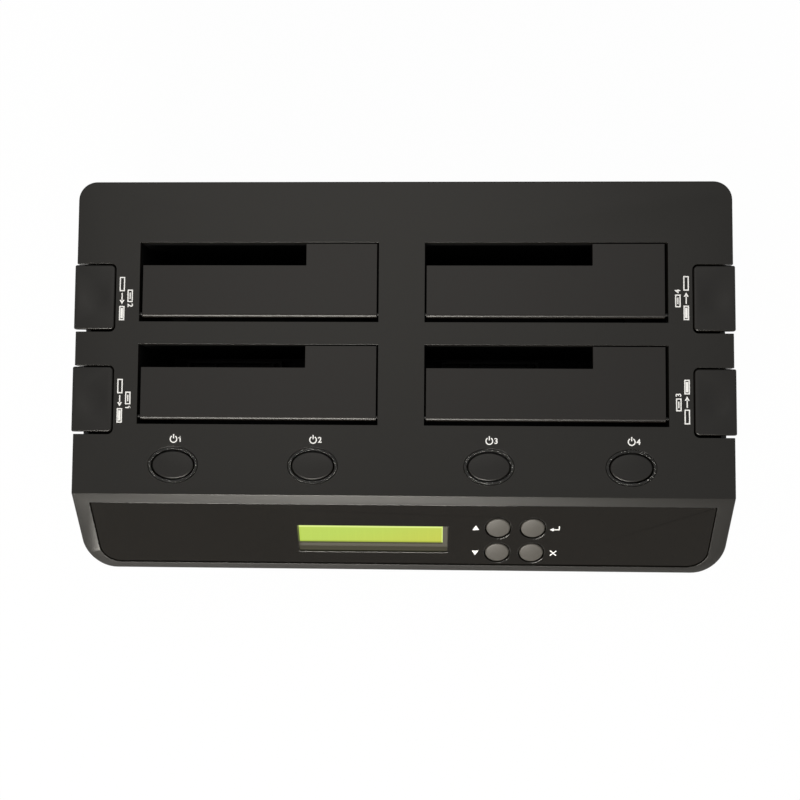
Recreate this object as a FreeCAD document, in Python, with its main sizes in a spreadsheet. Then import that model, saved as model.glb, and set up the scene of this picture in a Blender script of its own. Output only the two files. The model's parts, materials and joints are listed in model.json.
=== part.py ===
import FreeCAD, Part

import math
import os

import Sketcher
from FreeCAD import Placement, Rotation, Vector

# Four-bay drive duplicator: a two-part moulded case with a sloped control panel along its front.
# The part stands on its feet at z = 0 with its front towards -Y. Its origin is the middle of its
# footprint. Lengths are in millimetres and angles in degrees.

DRIVING = (
    # case
    ("bay_width", 103.1, "opening for a drive along X"),
    ("bay_depth", 34.3, "opening for a drive along Y, with room for the open door"),
    ("column_gap", 19.8, "between the left and the right bays"),
    ("row_gap", 9.8, "between the front and the rear bays"),
    ("side_margin", 27.6, "from a bay to the side of the case"),
    ("front_deck", 29.9, "from the top edge of the slope to the front bays"),
    ("back_deck", 26.6, "from the rear bays to the back of the case"),
    ("slope_run", 33.5, "how far the sloped front reaches forward of the deck"),
    ("slope_angle", 37, "tilt of the sloped front from level"),
    ("body_height", 76, "case height without the feet"),
    ("base_height", 28, "height of the bottom housing"),
    ("case_wall", 2.4, "thickness of the case walls and the deck"),
    ("slope_wall", 3.2, "thickness of the wall behind the control panel"),
    ("front_radius", 13, "vertical corners at the front"),
    ("back_radius", 8, "vertical corners at the back"),
    ("edge_round", 0.8, "rounding of the outer edges"),
    ("lip_height", 2.0, "tongue of the bottom housing inside the top housing"),
    ("lip_wall", 1.1, "thickness of that tongue"),
    ("foot_height", 2.0, "how far the feet stand below the case"),
    ("foot_radius", 7.0, "rubber feet"),
    ("fit_gap", 0.1, "clearance of pieces that are pushed into each other"),
    ("free_gap", 0.4, "clearance of pieces that move past each other"),
    # doors
    ("door_plate", 1.8, "thickness of a flap door"),
    ("door_front_gap", 1.8, "open gap ahead of a door's hinge edge"),
    ("door_back_gap", 0.5, "gap behind a closed door"),
    ("door_outer_gap", 1.3, "gap between a door and the outer side of its bay"),
    ("door_inner_gap", 0.7, "gap between a door and the inner side of its bay"),
    ("hinge_radius", 1.7, "rounded hinge edge of a door"),
    ("pin_radius", 0.75, "door hinge pins"),
    ("coil_wire", 0.4, "side of the square wire of a door spring"),
    ("coil_length", 8.0, "length of a door spring along its pin"),
    ("pin_seat", 2.6, "how deep a hinge pin sits in the case at each end"),
    ("pin_play", 0.06, "running clearance of pins and shafts"),
    ("notch_width", 70.6, "slot for a thin drive, along X from the door's end"),
    ("notch_depth", 9.9, "slot for a thin drive, along Y"),
    ("rib_depth", 1.4, "stiffening ribs below a door"),
    # drive guides
    ("guide_wall", 1.6, "walls of the drive guides"),
    ("guide_level", 14.0, "underside of the drive guides above the table"),
    # ejectors
    ("eject_length", 28.0, "eject button along Y"),
    ("eject_width", 17.6, "eject button along X"),
    ("eject_plate", 2.4, "thickness of an eject button's walls"),
    ("eject_corner", 1.9, "inner corners of an eject button"),
    ("eject_dish", 0.35, "depth of the thumb dish in an eject button"),
    ("eject_skirt", 8.0, "how far an eject button reaches down the side"),
    ("skirt_inset", 1.2, "from the ends of an eject button to its skirt"),
    ("eject_offset", 3.5, "from the front of a bay forward to its eject button"),
    ("eject_proud", 0.8, "how far an eject button stands out of the side"),
    ("eject_travel", 5.0, "how far an eject button goes down"),
    ("eject_front_gap", 1.0, "gap ahead of an eject button"),
    ("eject_back_gap", 0.5, "gap behind and beside an eject button"),
    ("lever_arm", 12.0, "from the lever's pin to the button's stem"),
    ("lever_width", 7.0, "ejector lever along Y"),
    ("lever_plate", 2.2, "thickness of an ejector lever"),
    ("lever_level", 21.0, "height of the lever's pin"),
    ("lever_pin_radius", 1.2, "pin of an ejector lever"),
    ("spring_wire", 0.8, "side of the square wire of an ejector spring"),
    # power buttons
    ("power_front", 12.5, "from the top edge of the slope to the power buttons"),
    ("power_outer", 15.9, "from a bay's outer side in to its outer power button"),
    ("power_inner", 27.45, "from a bay's inner side out to its inner power button"),
    ("power_width", 17.8, "power button along X"),
    ("power_depth", 11.9, "power button along Y"),
    ("power_gap", 0.45, "gap between a power button and its ring"),
    ("ring_wall", 1.25, "width of the clear ring round a power button"),
    ("power_travel", 0.8, "how far a power button goes down"),
    ("power_board_drop", 9.0, "from the deck's top down to the switch board"),
    # control panel, measured along the slope
    ("panel_top", 5.05, "from the slope's top edge to the glossy panel"),
    ("panel_length", 33.65, "glossy panel along the slope"),
    ("panel_margin", 7.1, "from the side of the case to the panel"),
    ("panel_radius", 8.5, "lower corners of the panel"),
    ("panel_plate", 1.4, "thickness of the panel"),
    ("panel_inset", 0.5, "how far the panel sits below the slope"),
    ("window_left", 44.9, "from the middle to the window's left side"),
    ("window_width", 65.1, "window along X"),
    ("window_top", 17.25, "from the slope's top edge to the window"),
    ("window_length", 14.55, "window along the slope"),
    ("bezel_strip", 2.5, "strip of the bezel that shows below the glass"),
    ("keys_x", 42.0, "from the middle to the left menu keys"),
    ("keys_pitch_x", 14.9, "between the menu keys along X"),
    ("keys_top", 17.75, "from the slope's top edge to the upper menu keys"),
    ("keys_pitch_u", 13.9, "between the menu keys along the slope"),
    ("key_radius", 5.4, "menu keys"),
    ("key_gap", 0.3, "gap round a menu key"),
    ("key_travel", 0.8, "how far a menu key goes in"),
    ("key_inset", 1.6, "how far a menu key's face lies below the panel"),
    # boards and connectors
    ("board_plate", 1.6, "thickness of the circuit boards"),
    ("board_level", 9.0, "underside of the main board above the table"),
    ("board_margin", 32.6, "from the side of the case to the main board"),
    ("socket_width", 46.0, "drive socket along X"),
    ("socket_depth", 6.4, "drive socket along Y"),
    ("socket_height", 12.6, "drive socket above the main board"),
    ("socket_offset", 31.0, "from the left side of a bay to its socket's middle"),
    ("port_depth", 15.0, "depth of the sockets at the back"),
    # fans
    ("fan_size", 40.0, "side of a cooling fan"),
    ("fan_thick", 10.0, "thickness of a cooling fan"),
    ("fan_hole_margin", 4.0, "from the side of a fan to its fixing holes"),
    ("fan_spacing", 62.0, "from the middle to a fan"),
    ("fan_drop", 2.1, "from the underside of the deck down to a fan"),
    ("fan_rim", 1.2, "frame of a fan at its thinnest, beside the opening"),
    ("blade_gap", 0.8, "between the blades' tips and the frame"),
    ("hub_radius", 9.5, "radius of the fan's hub"),
    # rocker switch
    ("rocker_inset", 19.6, "from the side of the case to the power switch"),
    ("rocker_level", 17.5, "height of the power switch"),
    ("rocker_width", 19.0, "cut-out of the power switch along X"),
    ("rocker_height", 13.0, "cut-out of the power switch along Z"),
    ("rocker_tilt", 8.0, "angle of the switch from its middle to either side"),
)

doc = FreeCAD.newDocument("drive_duplicator")
sheet = doc.addObject("Spreadsheet::Sheet", "Sizes")
for row, (alias, number, note) in enumerate(DRIVING, start=1):
    sheet.set(f"A{row}", note)
    sheet.set(f"B{row}", str(number))
    sheet.setAlias(f"B{row}", alias)
doc.recompute()


class Size:
    """A length that follows the sheet: its expression, and what it comes to now."""

    def __init__(self, text, now):
        self.text = text
        self.now = now

    def joined(self, sign, other, now):
        return Size(f"({self.text} {sign} {as_size(other).text})", now)

    def __add__(self, other):
        return self.joined("+", other, self.now + as_size(other).now)

    def __sub__(self, other):
        return self.joined("-", other, self.now - as_size(other).now)

    def __mul__(self, other):
        return self.joined("*", other, self.now * as_size(other).now)

    def __truediv__(self, other):
        return self.joined("/", other, self.now / as_size(other).now)

    def __radd__(self, other):
        return as_size(other) + self

    def __rsub__(self, other):
        return as_size(other) - self

    def __rmul__(self, other):
        return as_size(other) * self

    def __neg__(self):
        return as_size(-1) * self


def as_size(value):
    return value if isinstance(value, Size) else Size(f"({value})", float(value))


def aliased(alias):
    return Size(f"Sizes.{alias}", float(getattr(sheet, alias)))


def tangent(angle):
    return Size(f"tan({angle.text})", math.tan(math.radians(angle.now)))


S = {alias: aliased(alias) for alias, _, _ in DRIVING}

# Levels and places that several pieces share
WIDTH = S["column_gap"] + 2 * S["bay_width"] + 2 * S["side_margin"]
DEPTH = S["slope_run"] + S["front_deck"] + 2 * S["bay_depth"] + S["row_gap"] + S["back_deck"]
SIDE = WIDTH / 2
BACK = DEPTH / 2
FRONT = -BACK
DECK_FRONT = FRONT + S["slope_run"]
BASE = S["foot_height"]
SEAM = BASE + S["base_height"]
TOP = BASE + S["body_height"]
DECK_UNDER = TOP - S["case_wall"]
FRONT_ROW = DECK_FRONT + S["front_deck"]
REAR_ROW = FRONT_ROW + S["bay_depth"] + S["row_gap"]
LEFT_COLUMN = -S["column_gap"] / 2 - S["bay_width"]
RIGHT_COLUMN = S["column_gap"] / 2
BOARD_TOP = S["board_level"] + S["board_plate"]
HINGE_Z = TOP - S["hinge_radius"]
POWER_Y = DECK_FRONT + S["power_front"]
POWER_BOARD_TOP = TOP - S["power_board_drop"]
FAN_BACK = BACK - S["case_wall"]
FAN_LEVEL = DECK_UNDER - S["fan_drop"] - S["fan_size"] / 2
FAN_BORE = S["fan_size"] / 2 - S["fan_rim"]
FAN_FIXING = S["fan_size"] / 2 - S["fan_hole_margin"]
BLADE_TIP = FAN_BORE - S["blade_gap"]
BOARD_HALF = SIDE - S["board_margin"]
ROCKER_X = SIDE - S["rocker_inset"]

BAYS = {
    "left_front": (LEFT_COLUMN, FRONT_ROW, -1),
    "left_rear": (LEFT_COLUMN, REAR_ROW, -1),
    "right_front": (RIGHT_COLUMN, FRONT_ROW, 1),
    "right_rear": (RIGHT_COLUMN, REAR_ROW, 1),
}

pieces = {}


def bind(feature, **sizes):
    """Ties properties to the sheet. Double underscores in a name stand for dots."""
    for name, size in sizes.items():
        feature.setExpression(name.replace("__", "."), as_size(size).text)


def place(feature, x=0, y=0, z=0):
    bind(feature, Placement__Base__x=x, Placement__Base__y=y, Placement__Base__z=z)
    return feature


def on_slope(feature):
    """Lays a feature on the sloped front: its X is along the case, its Y up the slope, its Z outwards."""
    feature.Placement = Placement(Vector(), Rotation(Vector(1, 0, 0), S["slope_angle"].now))
    place(feature, 0, DECK_FRONT, TOP)
    bind(feature, Placement__Rotation__Angle=S["slope_angle"])
    return feature


def box(name, low, high):
    feature = doc.addObject("Part::Box", name)
    spans = [as_size(b) - a for a, b in zip(low, high)]
    bind(feature, Length=spans[0], Width=spans[1], Height=spans[2])
    return place(feature, *low)


TURNS = {
    "+X": Rotation(Vector(0, 1, 0), 90),
    "+Y": Rotation(Vector(1, 0, 0), -90),
    "+Z": Rotation(),
    "-Y": Rotation(Vector(1, 0, 0), 90),
}


def rod(name, axis, start, radius, length):
    """A cylinder that runs from its start along +X, +Y or +Z."""
    feature = doc.addObject("Part::Cylinder", name)
    feature.Placement = Placement(Vector(), TURNS[axis])
    bind(feature, Radius=radius, Height=length)
    return place(feature, *start)


def oval(name, centre, low, high, width, depth):
    """An upright elliptical prism."""
    ring = doc.addObject("Part::Ellipse", name + "_outline")
    bind(ring, MajorRadius=as_size(width) / 2, MinorRadius=as_size(depth) / 2)
    place(ring, centre[0], centre[1], low)
    feature = doc.addObject("Part::Extrusion", name)
    feature.Base = ring
    feature.DirMode = "Custom"
    feature.Dir = Vector(0, 0, 1)
    feature.Solid = True
    bind(feature, LengthFwd=as_size(high) - low)
    return feature


def fuse(name, *shapes):
    if len(shapes) == 1:
        return shapes[0]
    feature = doc.addObject("Part::MultiFuse", name)
    feature.Shapes = list(shapes)
    feature.Refine = True
    return feature


def cut(name, base, *tools):
    feature = doc.addObject("Part::Cut", name)
    feature.Base = base
    feature.Tool = fuse(name + "_tools", *tools)
    feature.Refine = True
    return feature


def common(name, *shapes):
    feature = doc.addObject("Part::MultiCommon", name)
    feature.Shapes = list(shapes)
    feature.Refine = True
    return feature


def group(name, *shapes):
    """Separate solids of one kind, such as screws, in one node."""
    feature = doc.addObject("Part::Compound", name)
    feature.Links = list(shapes)
    return feature


def piece(label, feature):
    feature.Label = label
    pieces[label] = feature
    return feature


def plane(body, role):
    return next(f for f in body.Origin.OriginFeatures if f.Role == role)


def new_sketch(body, role, name):
    sketch = body.newObject("Sketcher::SketchObject", name)
    sketch.AttachmentSupport = (plane(body, role), "")
    sketch.MapMode = "FlatFace"
    return sketch


def dimension(sketch, name, kind, point, size):
    """Ties one coordinate of a point, given as (geometry, end), to the sheet."""
    size = as_size(size)
    origin = (-1, 1)
    ends = origin + point if size.now >= 0 else point + origin
    signed = size if size.now >= 0 else -size
    index = sketch.addConstraint(Sketcher.Constraint(kind, *ends, signed.now))
    sketch.renameConstraint(index, name)
    sketch.setExpression("Constraints." + name, signed.text)


def radius(sketch, name, geometry, size):
    index = sketch.addConstraint(Sketcher.Constraint("Radius", geometry, size.now))
    sketch.renameConstraint(index, name)
    sketch.setExpression("Constraints." + name, size.text)


def rounded_outline(sketch, left, right, low, high, low_radius, high_radius):
    """Four straight sides joined by arcs, anticlockwise from the low side."""
    x0, x1, y0, y1 = (as_size(side).now for side in (left, right, low, high))
    corners = (
        (x1, y0, -1, 1, low_radius, -90),
        (x1, y1, -1, -1, high_radius, 0),
        (x0, y1, 1, -1, high_radius, 90),
        (x0, y0, 1, 1, low_radius, 180),
    )
    starts = []
    for x, y, across, up, size, angle in corners:
        centre = Vector(x + across * size.now, y + up * size.now, 0)
        begin, end = math.radians(angle), math.radians(angle + 90)
        starts.append(Part.ArcOfCircle(Part.Circle(centre, Vector(0, 0, 1), size.now), begin, end))
    for index, arc in enumerate(starts):
        before = starts[index - 1]
        sketch.addGeometry(Part.LineSegment(before.EndPoint, arc.StartPoint), False)
        sketch.addGeometry(arc, False)
    for index in range(8):
        after = (index + 1) % 8
        sketch.addConstraint(Sketcher.Constraint("Tangent", index, 2, after, 1))
    for line, kind in ((0, "Horizontal"), (2, "Vertical"), (4, "Horizontal"), (6, "Vertical")):
        sketch.addConstraint(Sketcher.Constraint(kind, line))
    dimension(sketch, "low", "DistanceY", (0, 1), low)
    dimension(sketch, "right", "DistanceX", (2, 1), right)
    dimension(sketch, "high", "DistanceY", (4, 1), high)
    dimension(sketch, "left", "DistanceX", (6, 1), left)
    for name, arc, size in zip(
        ("low_right", "high_right", "high_left", "low_left"), (1, 3, 5, 7), [c[4] for c in corners]
    ):
        radius(sketch, name, arc, size)


def prism(name, sides, radii, low, high):
    """A body with one upright pad: sides are left, right, low, high, and radii are low, high."""
    body = doc.addObject("PartDesign::Body", name)
    sketch = new_sketch(body, "XY_Plane", name + "_outline")
    rounded_outline(sketch, *sides, *[as_size(r) for r in radii])
    bind(sketch, AttachmentOffset__Base__z=low)
    pad = body.newObject("PartDesign::Pad", name + "_pad")
    pad.Profile = sketch
    bind(pad, Length=as_size(high) - low)
    sketch.Visibility = False
    return body


def case_prism(name, inset, low, high):
    """The plan of the case, drawn in by an inset."""
    sides = (inset - SIDE, SIDE - inset, FRONT + inset, BACK - inset)
    radii = (S["front_radius"] - inset, S["back_radius"] - inset)
    return prism(name, sides, radii, low, high)


def round_edges(body, size, wanted):
    """Rounds the edges of a body's last feature that a test picks."""
    doc.recompute()
    base = body.Tip
    names = [f"Edge{i + 1}" for i, edge in enumerate(base.Shape.Edges) if wanted(edge)]
    fillet = body.newObject("PartDesign::Fillet", body.Name + "_rounding")
    fillet.Base = (base, names)
    bind(fillet, Radius=size)
    return body


def solid_box(body, name, low, high, kind="AdditiveBox"):
    feature = body.newObject("PartDesign::" + kind, name)
    spans = [as_size(b) - a for a, b in zip(low, high)]
    bind(feature, Length=spans[0], Width=spans[1], Height=spans[2])
    return place(feature, *low)


def solid_rod(body, name, axis, start, size, length, kind="AdditiveCylinder"):
    feature = body.newObject("PartDesign::" + kind, name)
    feature.Placement = Placement(Vector(), TURNS[axis])
    bind(feature, Radius=size, Height=length)
    return place(feature, *start)


def mirrored(side, low, high):
    """An interval given outwards from the middle, as it lies on the left (-1) or the right (1)."""
    return (low, high) if side > 0 else (-as_size(high), -as_size(low))


# Places worked out once for each bay


class Bay:
    """One drive bay: where its opening, its ejector and its socket lie."""

    def __init__(self, name, left, front, side):
        self.name = name
        self.side = side
        self.left = left
        self.right = left + S["bay_width"]
        self.front = front
        self.back = front + S["bay_depth"]
        self.eject_front = front - S["eject_offset"]
        self.eject_back = self.eject_front + S["eject_length"]
        self.lever_y = (self.eject_front + self.eject_back) / 2
        self.hinge_y = front + S["door_front_gap"] + S["hinge_radius"]
        self.socket_x = left + S["socket_offset"]
        self.socket_y = self.back - SOCKET_TO_BACK

    def across(self, low, high):
        return mirrored(self.side, low, high)


SOCKET_TO_BACK = 4.9
GUIDE_TOP = DECK_UNDER
GUIDE_FLOOR = S["guide_level"] + S["guide_wall"]
OUTER_GUIDE = SIDE - S["side_margin"] + S["guide_wall"]
EJECT_INNER = SIDE + S["eject_proud"] - S["eject_width"]
LEVER_PIVOT = EJECT_INNER + S["eject_width"] / 2 - S["lever_arm"] + 1
LUG_DROP = 1.2
bays = [Bay(name, *where) for name, where in BAYS.items()]
POWER_X = [
    LEFT_COLUMN + S["power_outer"],
    -S["column_gap"] / 2 - S["power_inner"],
    RIGHT_COLUMN + S["power_inner"],
    RIGHT_COLUMN + S["bay_width"] - S["power_outer"],
]
RING_WIDTH = S["power_width"] + 2 * (S["power_gap"] + S["ring_wall"])
RING_DEPTH = S["power_depth"] + 2 * (S["power_gap"] + S["ring_wall"])
PANEL_LOW = -S["panel_top"] - S["panel_length"]
PANEL_SIDE = SIDE - S["panel_margin"]
PANEL_FACE = -S["panel_inset"]
PANEL_BACK = PANEL_FACE - S["panel_plate"]
WALL_BACK = -S["slope_wall"]
KEYS = {
    "up": (S["keys_x"], -S["keys_top"]),
    "enter": (S["keys_x"] + S["keys_pitch_x"], -S["keys_top"]),
    "down": (S["keys_x"], -S["keys_top"] - S["keys_pitch_u"]),
    "escape": (S["keys_x"] + S["keys_pitch_x"], -S["keys_top"] - S["keys_pitch_u"]),
}
WINDOW = (
    (-S["window_left"], -S["window_top"] - S["window_length"]),
    (-S["window_left"] + S["window_width"], -S["window_top"]),
)
CASE_POST = 4.0
POSTS = [
    (side * (SIDE - 14), y) for side in (-1, 1) for y in (FRONT + 22, BACK - 24)
]
POST_BORE = 1.4
POST_HEAD = 3.2
POST_SINK = 12.0
POST_GRIP = 9.0
BOARD_POST = 2.6
BOARD_BORE = 1.0
ZERO = as_size(0)
POWER_POST_X = ((POWER_X[0] + POWER_X[1]) / 2, ZERO, (POWER_X[2] + POWER_X[3]) / 2)
POWER_POSTS = [(x, POWER_Y) for x in POWER_POST_X]
MAIN_POSTS = [(x, FRONT_ROW - 5) for x in (13 - BOARD_HALF, ZERO, BOARD_HALF - 13)]
MAIN_POSTS += [(x, BACK - 16) for x in (as_size(-40), as_size(40))]
DISPLAY_X = S["window_width"] / 2 - S["window_left"]
DISPLAY_V = -S["window_top"] - S["window_length"] / 2
DISPLAY_BOARD = (80.0, 30.0)
DISPLAY_DEEP = 7.0
DISPLAY_POSTS = [(DISPLAY_X + a * 37.6, DISPLAY_V + b * 12.0) for a in (-1, 1) for b in (-1, 1)]
KEYS_X = S["keys_x"] + S["keys_pitch_x"] / 2
KEYS_V = -S["keys_top"] - S["keys_pitch_u"] / 2
KEYS_DEEP = 7.0
KEY_POSTS = [(KEYS_X + a * 14.5, KEYS_V) for a in (-1, 1)]
FAN_X = [-S["fan_spacing"], S["fan_spacing"]]
FAN_HOLES = [(across, up) for across in (-1, 1) for up in (-1, 1)]
FAN_SCREW = 1.5
FAN_SHAFT = 1.0
BLADES = 7
BLADE_PITCH = 48
BLADE_PLATE = 1.1
GRILLE_BARS = 8
SPRING_X = LEVER_PIVOT + S["lever_arm"]
SPRING_RADIUS = 2.7
SPRING_SLACK = 0.05
PEG_RADIUS = 1.6
COIL_SIDES = 8
COIL_START = S["door_outer_gap"] + 0.6
DISH_RADIUS = 60.0
SLOT_SPARE = 0.6
STEM_HALF = 1.2
VENTS = 9
VENT_PITCH = 7.0
VENT_REACH = 25.0
VENT_HALF = 1.25
SWITCH_HEIGHT = 3.2
ROCKER_RIM = 1.2
ROCKER_PIN = 1.2
JACK_RADIUS = 3.2
# Ports stand on the main board with their mouths in the back wall: x, width and height
PORTS = {
    "usb_port": (46 - BOARD_HALF, 12.0, 11.0),
    "esata_port": (22 - BOARD_HALF, 15.0, 6.4),
    "dc_jack": (BOARD_HALF - 16, 9.6, 11.0),
}
PORT_FACE = BACK - 0.4


def laid(name, *shapes):
    """Shapes drawn flat in the slope's own frame, laid on the slope."""
    return on_slope(group(name, *shapes))


# Top housing


def case_outer():
    """The upper half of the case as a block with its sloped front and rounded edges."""
    body = case_prism("upper_form", as_size(0), SEAM, TOP)
    ahead = FRONT - 5
    end = TOP - (DECK_FRONT - ahead) * tangent(S["slope_angle"])
    sketch = new_sketch(body, "YZ_Plane", "slope_outline")
    corners = [
        Vector(DECK_FRONT.now, TOP.now, 0),
        Vector(ahead.now, TOP.now, 0),
        Vector(ahead.now, end.now, 0),
    ]
    for index, corner in enumerate(corners):
        sketch.addGeometry(Part.LineSegment(corner, corners[(index + 1) % 3]), False)
    for index in range(3):
        sketch.addConstraint(Sketcher.Constraint("Coincident", index, 2, (index + 1) % 3, 1))
    sketch.addConstraint(Sketcher.Constraint("Horizontal", 0))
    sketch.addConstraint(Sketcher.Constraint("Vertical", 1))
    dimension(sketch, "deck_edge", "DistanceX", (0, 1), DECK_FRONT)
    dimension(sketch, "deck_level", "DistanceY", (0, 1), TOP)
    dimension(sketch, "ahead", "DistanceX", (1, 1), ahead)
    dimension(sketch, "slope_end", "DistanceY", (2, 1), end)
    slope = body.newObject("PartDesign::Pocket", "slope_cut")
    slope.Profile = sketch
    slope.SideType = "Symmetric"
    bind(slope, Length=WIDTH + 20)
    sketch.Visibility = False

    def outer_edge(edge):
        ends = [vertex.Point for vertex in edge.Vertexes]
        upright = all(abs(end.x - ends[0].x) + abs(end.y - ends[0].y) < 0.01 for end in ends)
        return not upright and min(end.z for end in ends) > SEAM.now + 0.1

    return round_edges(body, S["edge_round"], outer_edge)


def case_hollow():
    """The room inside the upper half, which stops short of the slope by its thicker wall."""
    block = case_prism("upper_room", S["case_wall"], SEAM - 1, DECK_UNDER)
    reach = 3 * S["slope_run"]
    beyond = laid(
        "upper_room_slope",
        box("upper_room_beyond", (-SIDE, -reach, WALL_BACK), (SIDE, S["slope_run"] / 2, reach)),
    )
    return cut("upper_hollow", block, beyond)


def screw_posts(name, low, high):
    return [rod(f"{name}_{i}", "+Z", (x, y, low), CASE_POST, high - low) for i, (x, y) in enumerate(POSTS)]


def hinge_lugs(bay):
    """Blocks below the deck, beside an opening, that hold the ends of a door's pin."""
    back = bay.hinge_y + 2.2
    low, high = bay.hinge_y - 2.2, DECK_UNDER + 0.5
    floor = HINGE_Z - S["pin_radius"] - LUG_DROP
    return [
        box(f"lug_{bay.name}_0", (bay.left - S["pin_seat"], low, floor), (bay.left, back, high)),
        box(f"lug_{bay.name}_1", (bay.right, low, floor), (bay.right + S["pin_seat"], back, high)),
    ]


def board_posts(name, places, top, bottom, size):
    return [
        rod(f"{name}_{i}", "+Z", (x, y, bottom), size, as_size(top) - bottom)
        for i, (x, y) in enumerate(places)
    ]


def top_housing(back_cuts):
    """Moulded shell: deck, walls and slope with their openings, bosses, lugs and grilles."""
    shell = cut("upper_shell", case_outer(), case_hollow())
    added = screw_posts("upper_post", SEAM, DECK_UNDER + 0.5)
    added += board_posts("power_post", POWER_POSTS, DECK_UNDER + 0.5, POWER_BOARD_TOP, BOARD_POST)
    for bay in bays:
        added += hinge_lugs(bay)
    inside = common("upper_bosses", fuse("upper_added", *added), bays_outer())
    behind = laid(
        "panel_posts",
        *[rod(f"display_post_{i}", "+Z", (x, v, WALL_BACK - DISPLAY_DEEP), BOARD_POST, DISPLAY_DEEP + 0.5)
          for i, (x, v) in enumerate(DISPLAY_POSTS)],
        *[rod(f"key_post_{i}", "+Z", (x, v, WALL_BACK - KEYS_DEEP), BOARD_POST, KEYS_DEEP + 0.5)
          for i, (x, v) in enumerate(KEY_POSTS)],
    )
    body = fuse("upper_body", shell, inside, behind)
    tools = [deck_openings(), slope_openings(), back_cuts, upper_bores()]
    return piece("top_housing", cut("top_housing", body, *tools))


def bays_outer():
    """The upper half again, as the limit that the bosses stay within."""
    block = case_prism("boss_limit", S["case_wall"] / 2, SEAM, TOP - S["case_wall"] / 2)
    reach = 3 * S["slope_run"]
    beyond = laid(
        "boss_limit_slope",
        box("boss_limit_beyond", (-SIDE, -reach, -S["slope_wall"] / 2), (SIDE, S["slope_run"], reach)),
    )
    return cut("boss_room", block, beyond)


def deck_openings():
    """Openings for the drives, the eject buttons and the rings of the power buttons."""
    tools = []
    for bay in bays:
        low, high = (bay.left, bay.front, DECK_UNDER - 1), (bay.right, bay.back, TOP + 1)
        tools.append(box(f"opening_{bay.name}", low, high))
        near, far = bay.across(EJECT_INNER - S["eject_back_gap"], SIDE + 5)
        ahead = bay.eject_front - S["eject_front_gap"]
        behind = bay.eject_back + S["eject_back_gap"]
        corner = S["eject_corner"] + S["eject_back_gap"]
        floor = TOP - S["eject_skirt"] - S["eject_travel"] - SLOT_SPARE
        sides = (near, far, ahead, behind)
        tools.append(prism(f"slot_{bay.name}", sides, (corner, corner), floor, TOP + 1))
    for index, x in enumerate(POWER_X):
        width, depth = (size + 2 * S["fit_gap"] for size in (RING_WIDTH, RING_DEPTH))
        tools.append(oval(f"power_hole_{index}", (x, POWER_Y), DECK_UNDER - 1, TOP + 1, width, depth))
    return fuse("deck_openings", *tools)


def panel_prism(name, grow, low, high):
    sides = (-PANEL_SIDE - grow, PANEL_SIDE + grow, PANEL_LOW - grow, -S["panel_top"] + grow)
    return prism(name, sides, (S["panel_radius"] + grow, as_size(0.6)), low, high)


def window_box(name, grow, low, high):
    (x0, v0), (x1, v1) = WINDOW
    return box(name, (x0 - grow, v0 - grow, low), (x1 + grow, v1 + grow, high))


def key_rods(name, size, low, high):
    return [
        rod(f"{name}_{key}", "+Z", (x, v, low), size, as_size(high) - low) for key, (x, v) in KEYS.items()
    ]


def slope_openings():
    """The pocket for the glossy panel, and the window and key holes in its floor."""
    through = WALL_BACK - 1
    return laid(
        "slope_openings",
        fuse(
            "slope_tools",
            panel_prism("panel_pocket", S["fit_gap"], PANEL_BACK, as_size(2)),
            window_box("window_hole", 0.5, through, 0),
            *key_rods("key_hole", S["key_radius"] + S["key_gap"], through, 0),
        ),
    )


def back_openings():
    """Grilles and fixing holes for the fans."""
    tools = []
    pitch = 2 * FAN_BORE / GRILLE_BARS
    for side, x in zip(("left", "right"), FAN_X):
        bars = [
            box(
                f"grille_{side}_{i}",
                (x - FAN_BORE, BACK - S["case_wall"] - 1, FAN_LEVEL + (i - GRILLE_BARS / 2 + 0.25) * pitch),
                (x + FAN_BORE, BACK + 1, FAN_LEVEL + (i - GRILLE_BARS / 2 + 0.75) * pitch),
            )
            for i in range(GRILLE_BARS)
        ]
        disc = rod(f"grille_{side}_disc", "+Y", (x, BACK - 10, FAN_LEVEL), FAN_BORE, 20)
        tools.append(common(f"grille_{side}", group(f"grille_{side}_bars", *bars), disc))
        tools += fan_screw_shapes(f"fan_hole_{side}", x, 6)
    return fuse("back_openings", *tools)


def fan_screw_shapes(name, x, length):
    """Countersunk screws, or the holes for them, at a fan's corners."""
    shapes = []
    for across, up in FAN_HOLES:
        at_x = x + across * FAN_FIXING
        at_z = FAN_LEVEL + up * FAN_FIXING
        tag = f"{name}_{across + 1}{up + 1}"
        head = doc.addObject("Part::Cone", tag + "_head")
        head.Placement = Placement(Vector(), TURNS["+Y"])
        bind(head, Radius1=FAN_SCREW, Radius2=FAN_SCREW * 2, Height=FAN_SCREW)
        place(head, at_x, BACK - FAN_SCREW, at_z)
        shaft = rod(tag + "_shaft", "+Y", (at_x, BACK - length, at_z), FAN_SCREW, length)
        shapes.append(fuse(tag, head, shaft))
    return shapes


def upper_bores():
    """Holes for the case screws, the boards' screws and the hinge pins."""
    tools = [
        rod(f"upper_bore_{i}", "+Z", (x, y, SEAM - 1), POST_BORE, POST_GRIP + 1)
        for i, (x, y) in enumerate(POSTS)
    ]
    tools += board_posts("power_bore", POWER_POSTS, POWER_BOARD_TOP + 5, POWER_BOARD_TOP - 1, BOARD_BORE)
    tools += hinge_pins("pin_bore")
    tools.append(
        laid(
            "panel_bores",
            *[rod(f"display_bore_{i}", "+Z", (x, v, WALL_BACK - DISPLAY_DEEP - 1), BOARD_BORE, 6)
              for i, (x, v) in enumerate(DISPLAY_POSTS)],
            *[rod(f"key_bore_{i}", "+Z", (x, v, WALL_BACK - KEYS_DEEP - 1), BOARD_BORE, 6)
              for i, (x, v) in enumerate(KEY_POSTS)],
        )
    )
    lip = lip_ring("upper_lip_room", S["fit_gap"])
    return fuse("upper_bores", *tools, lip)


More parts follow.
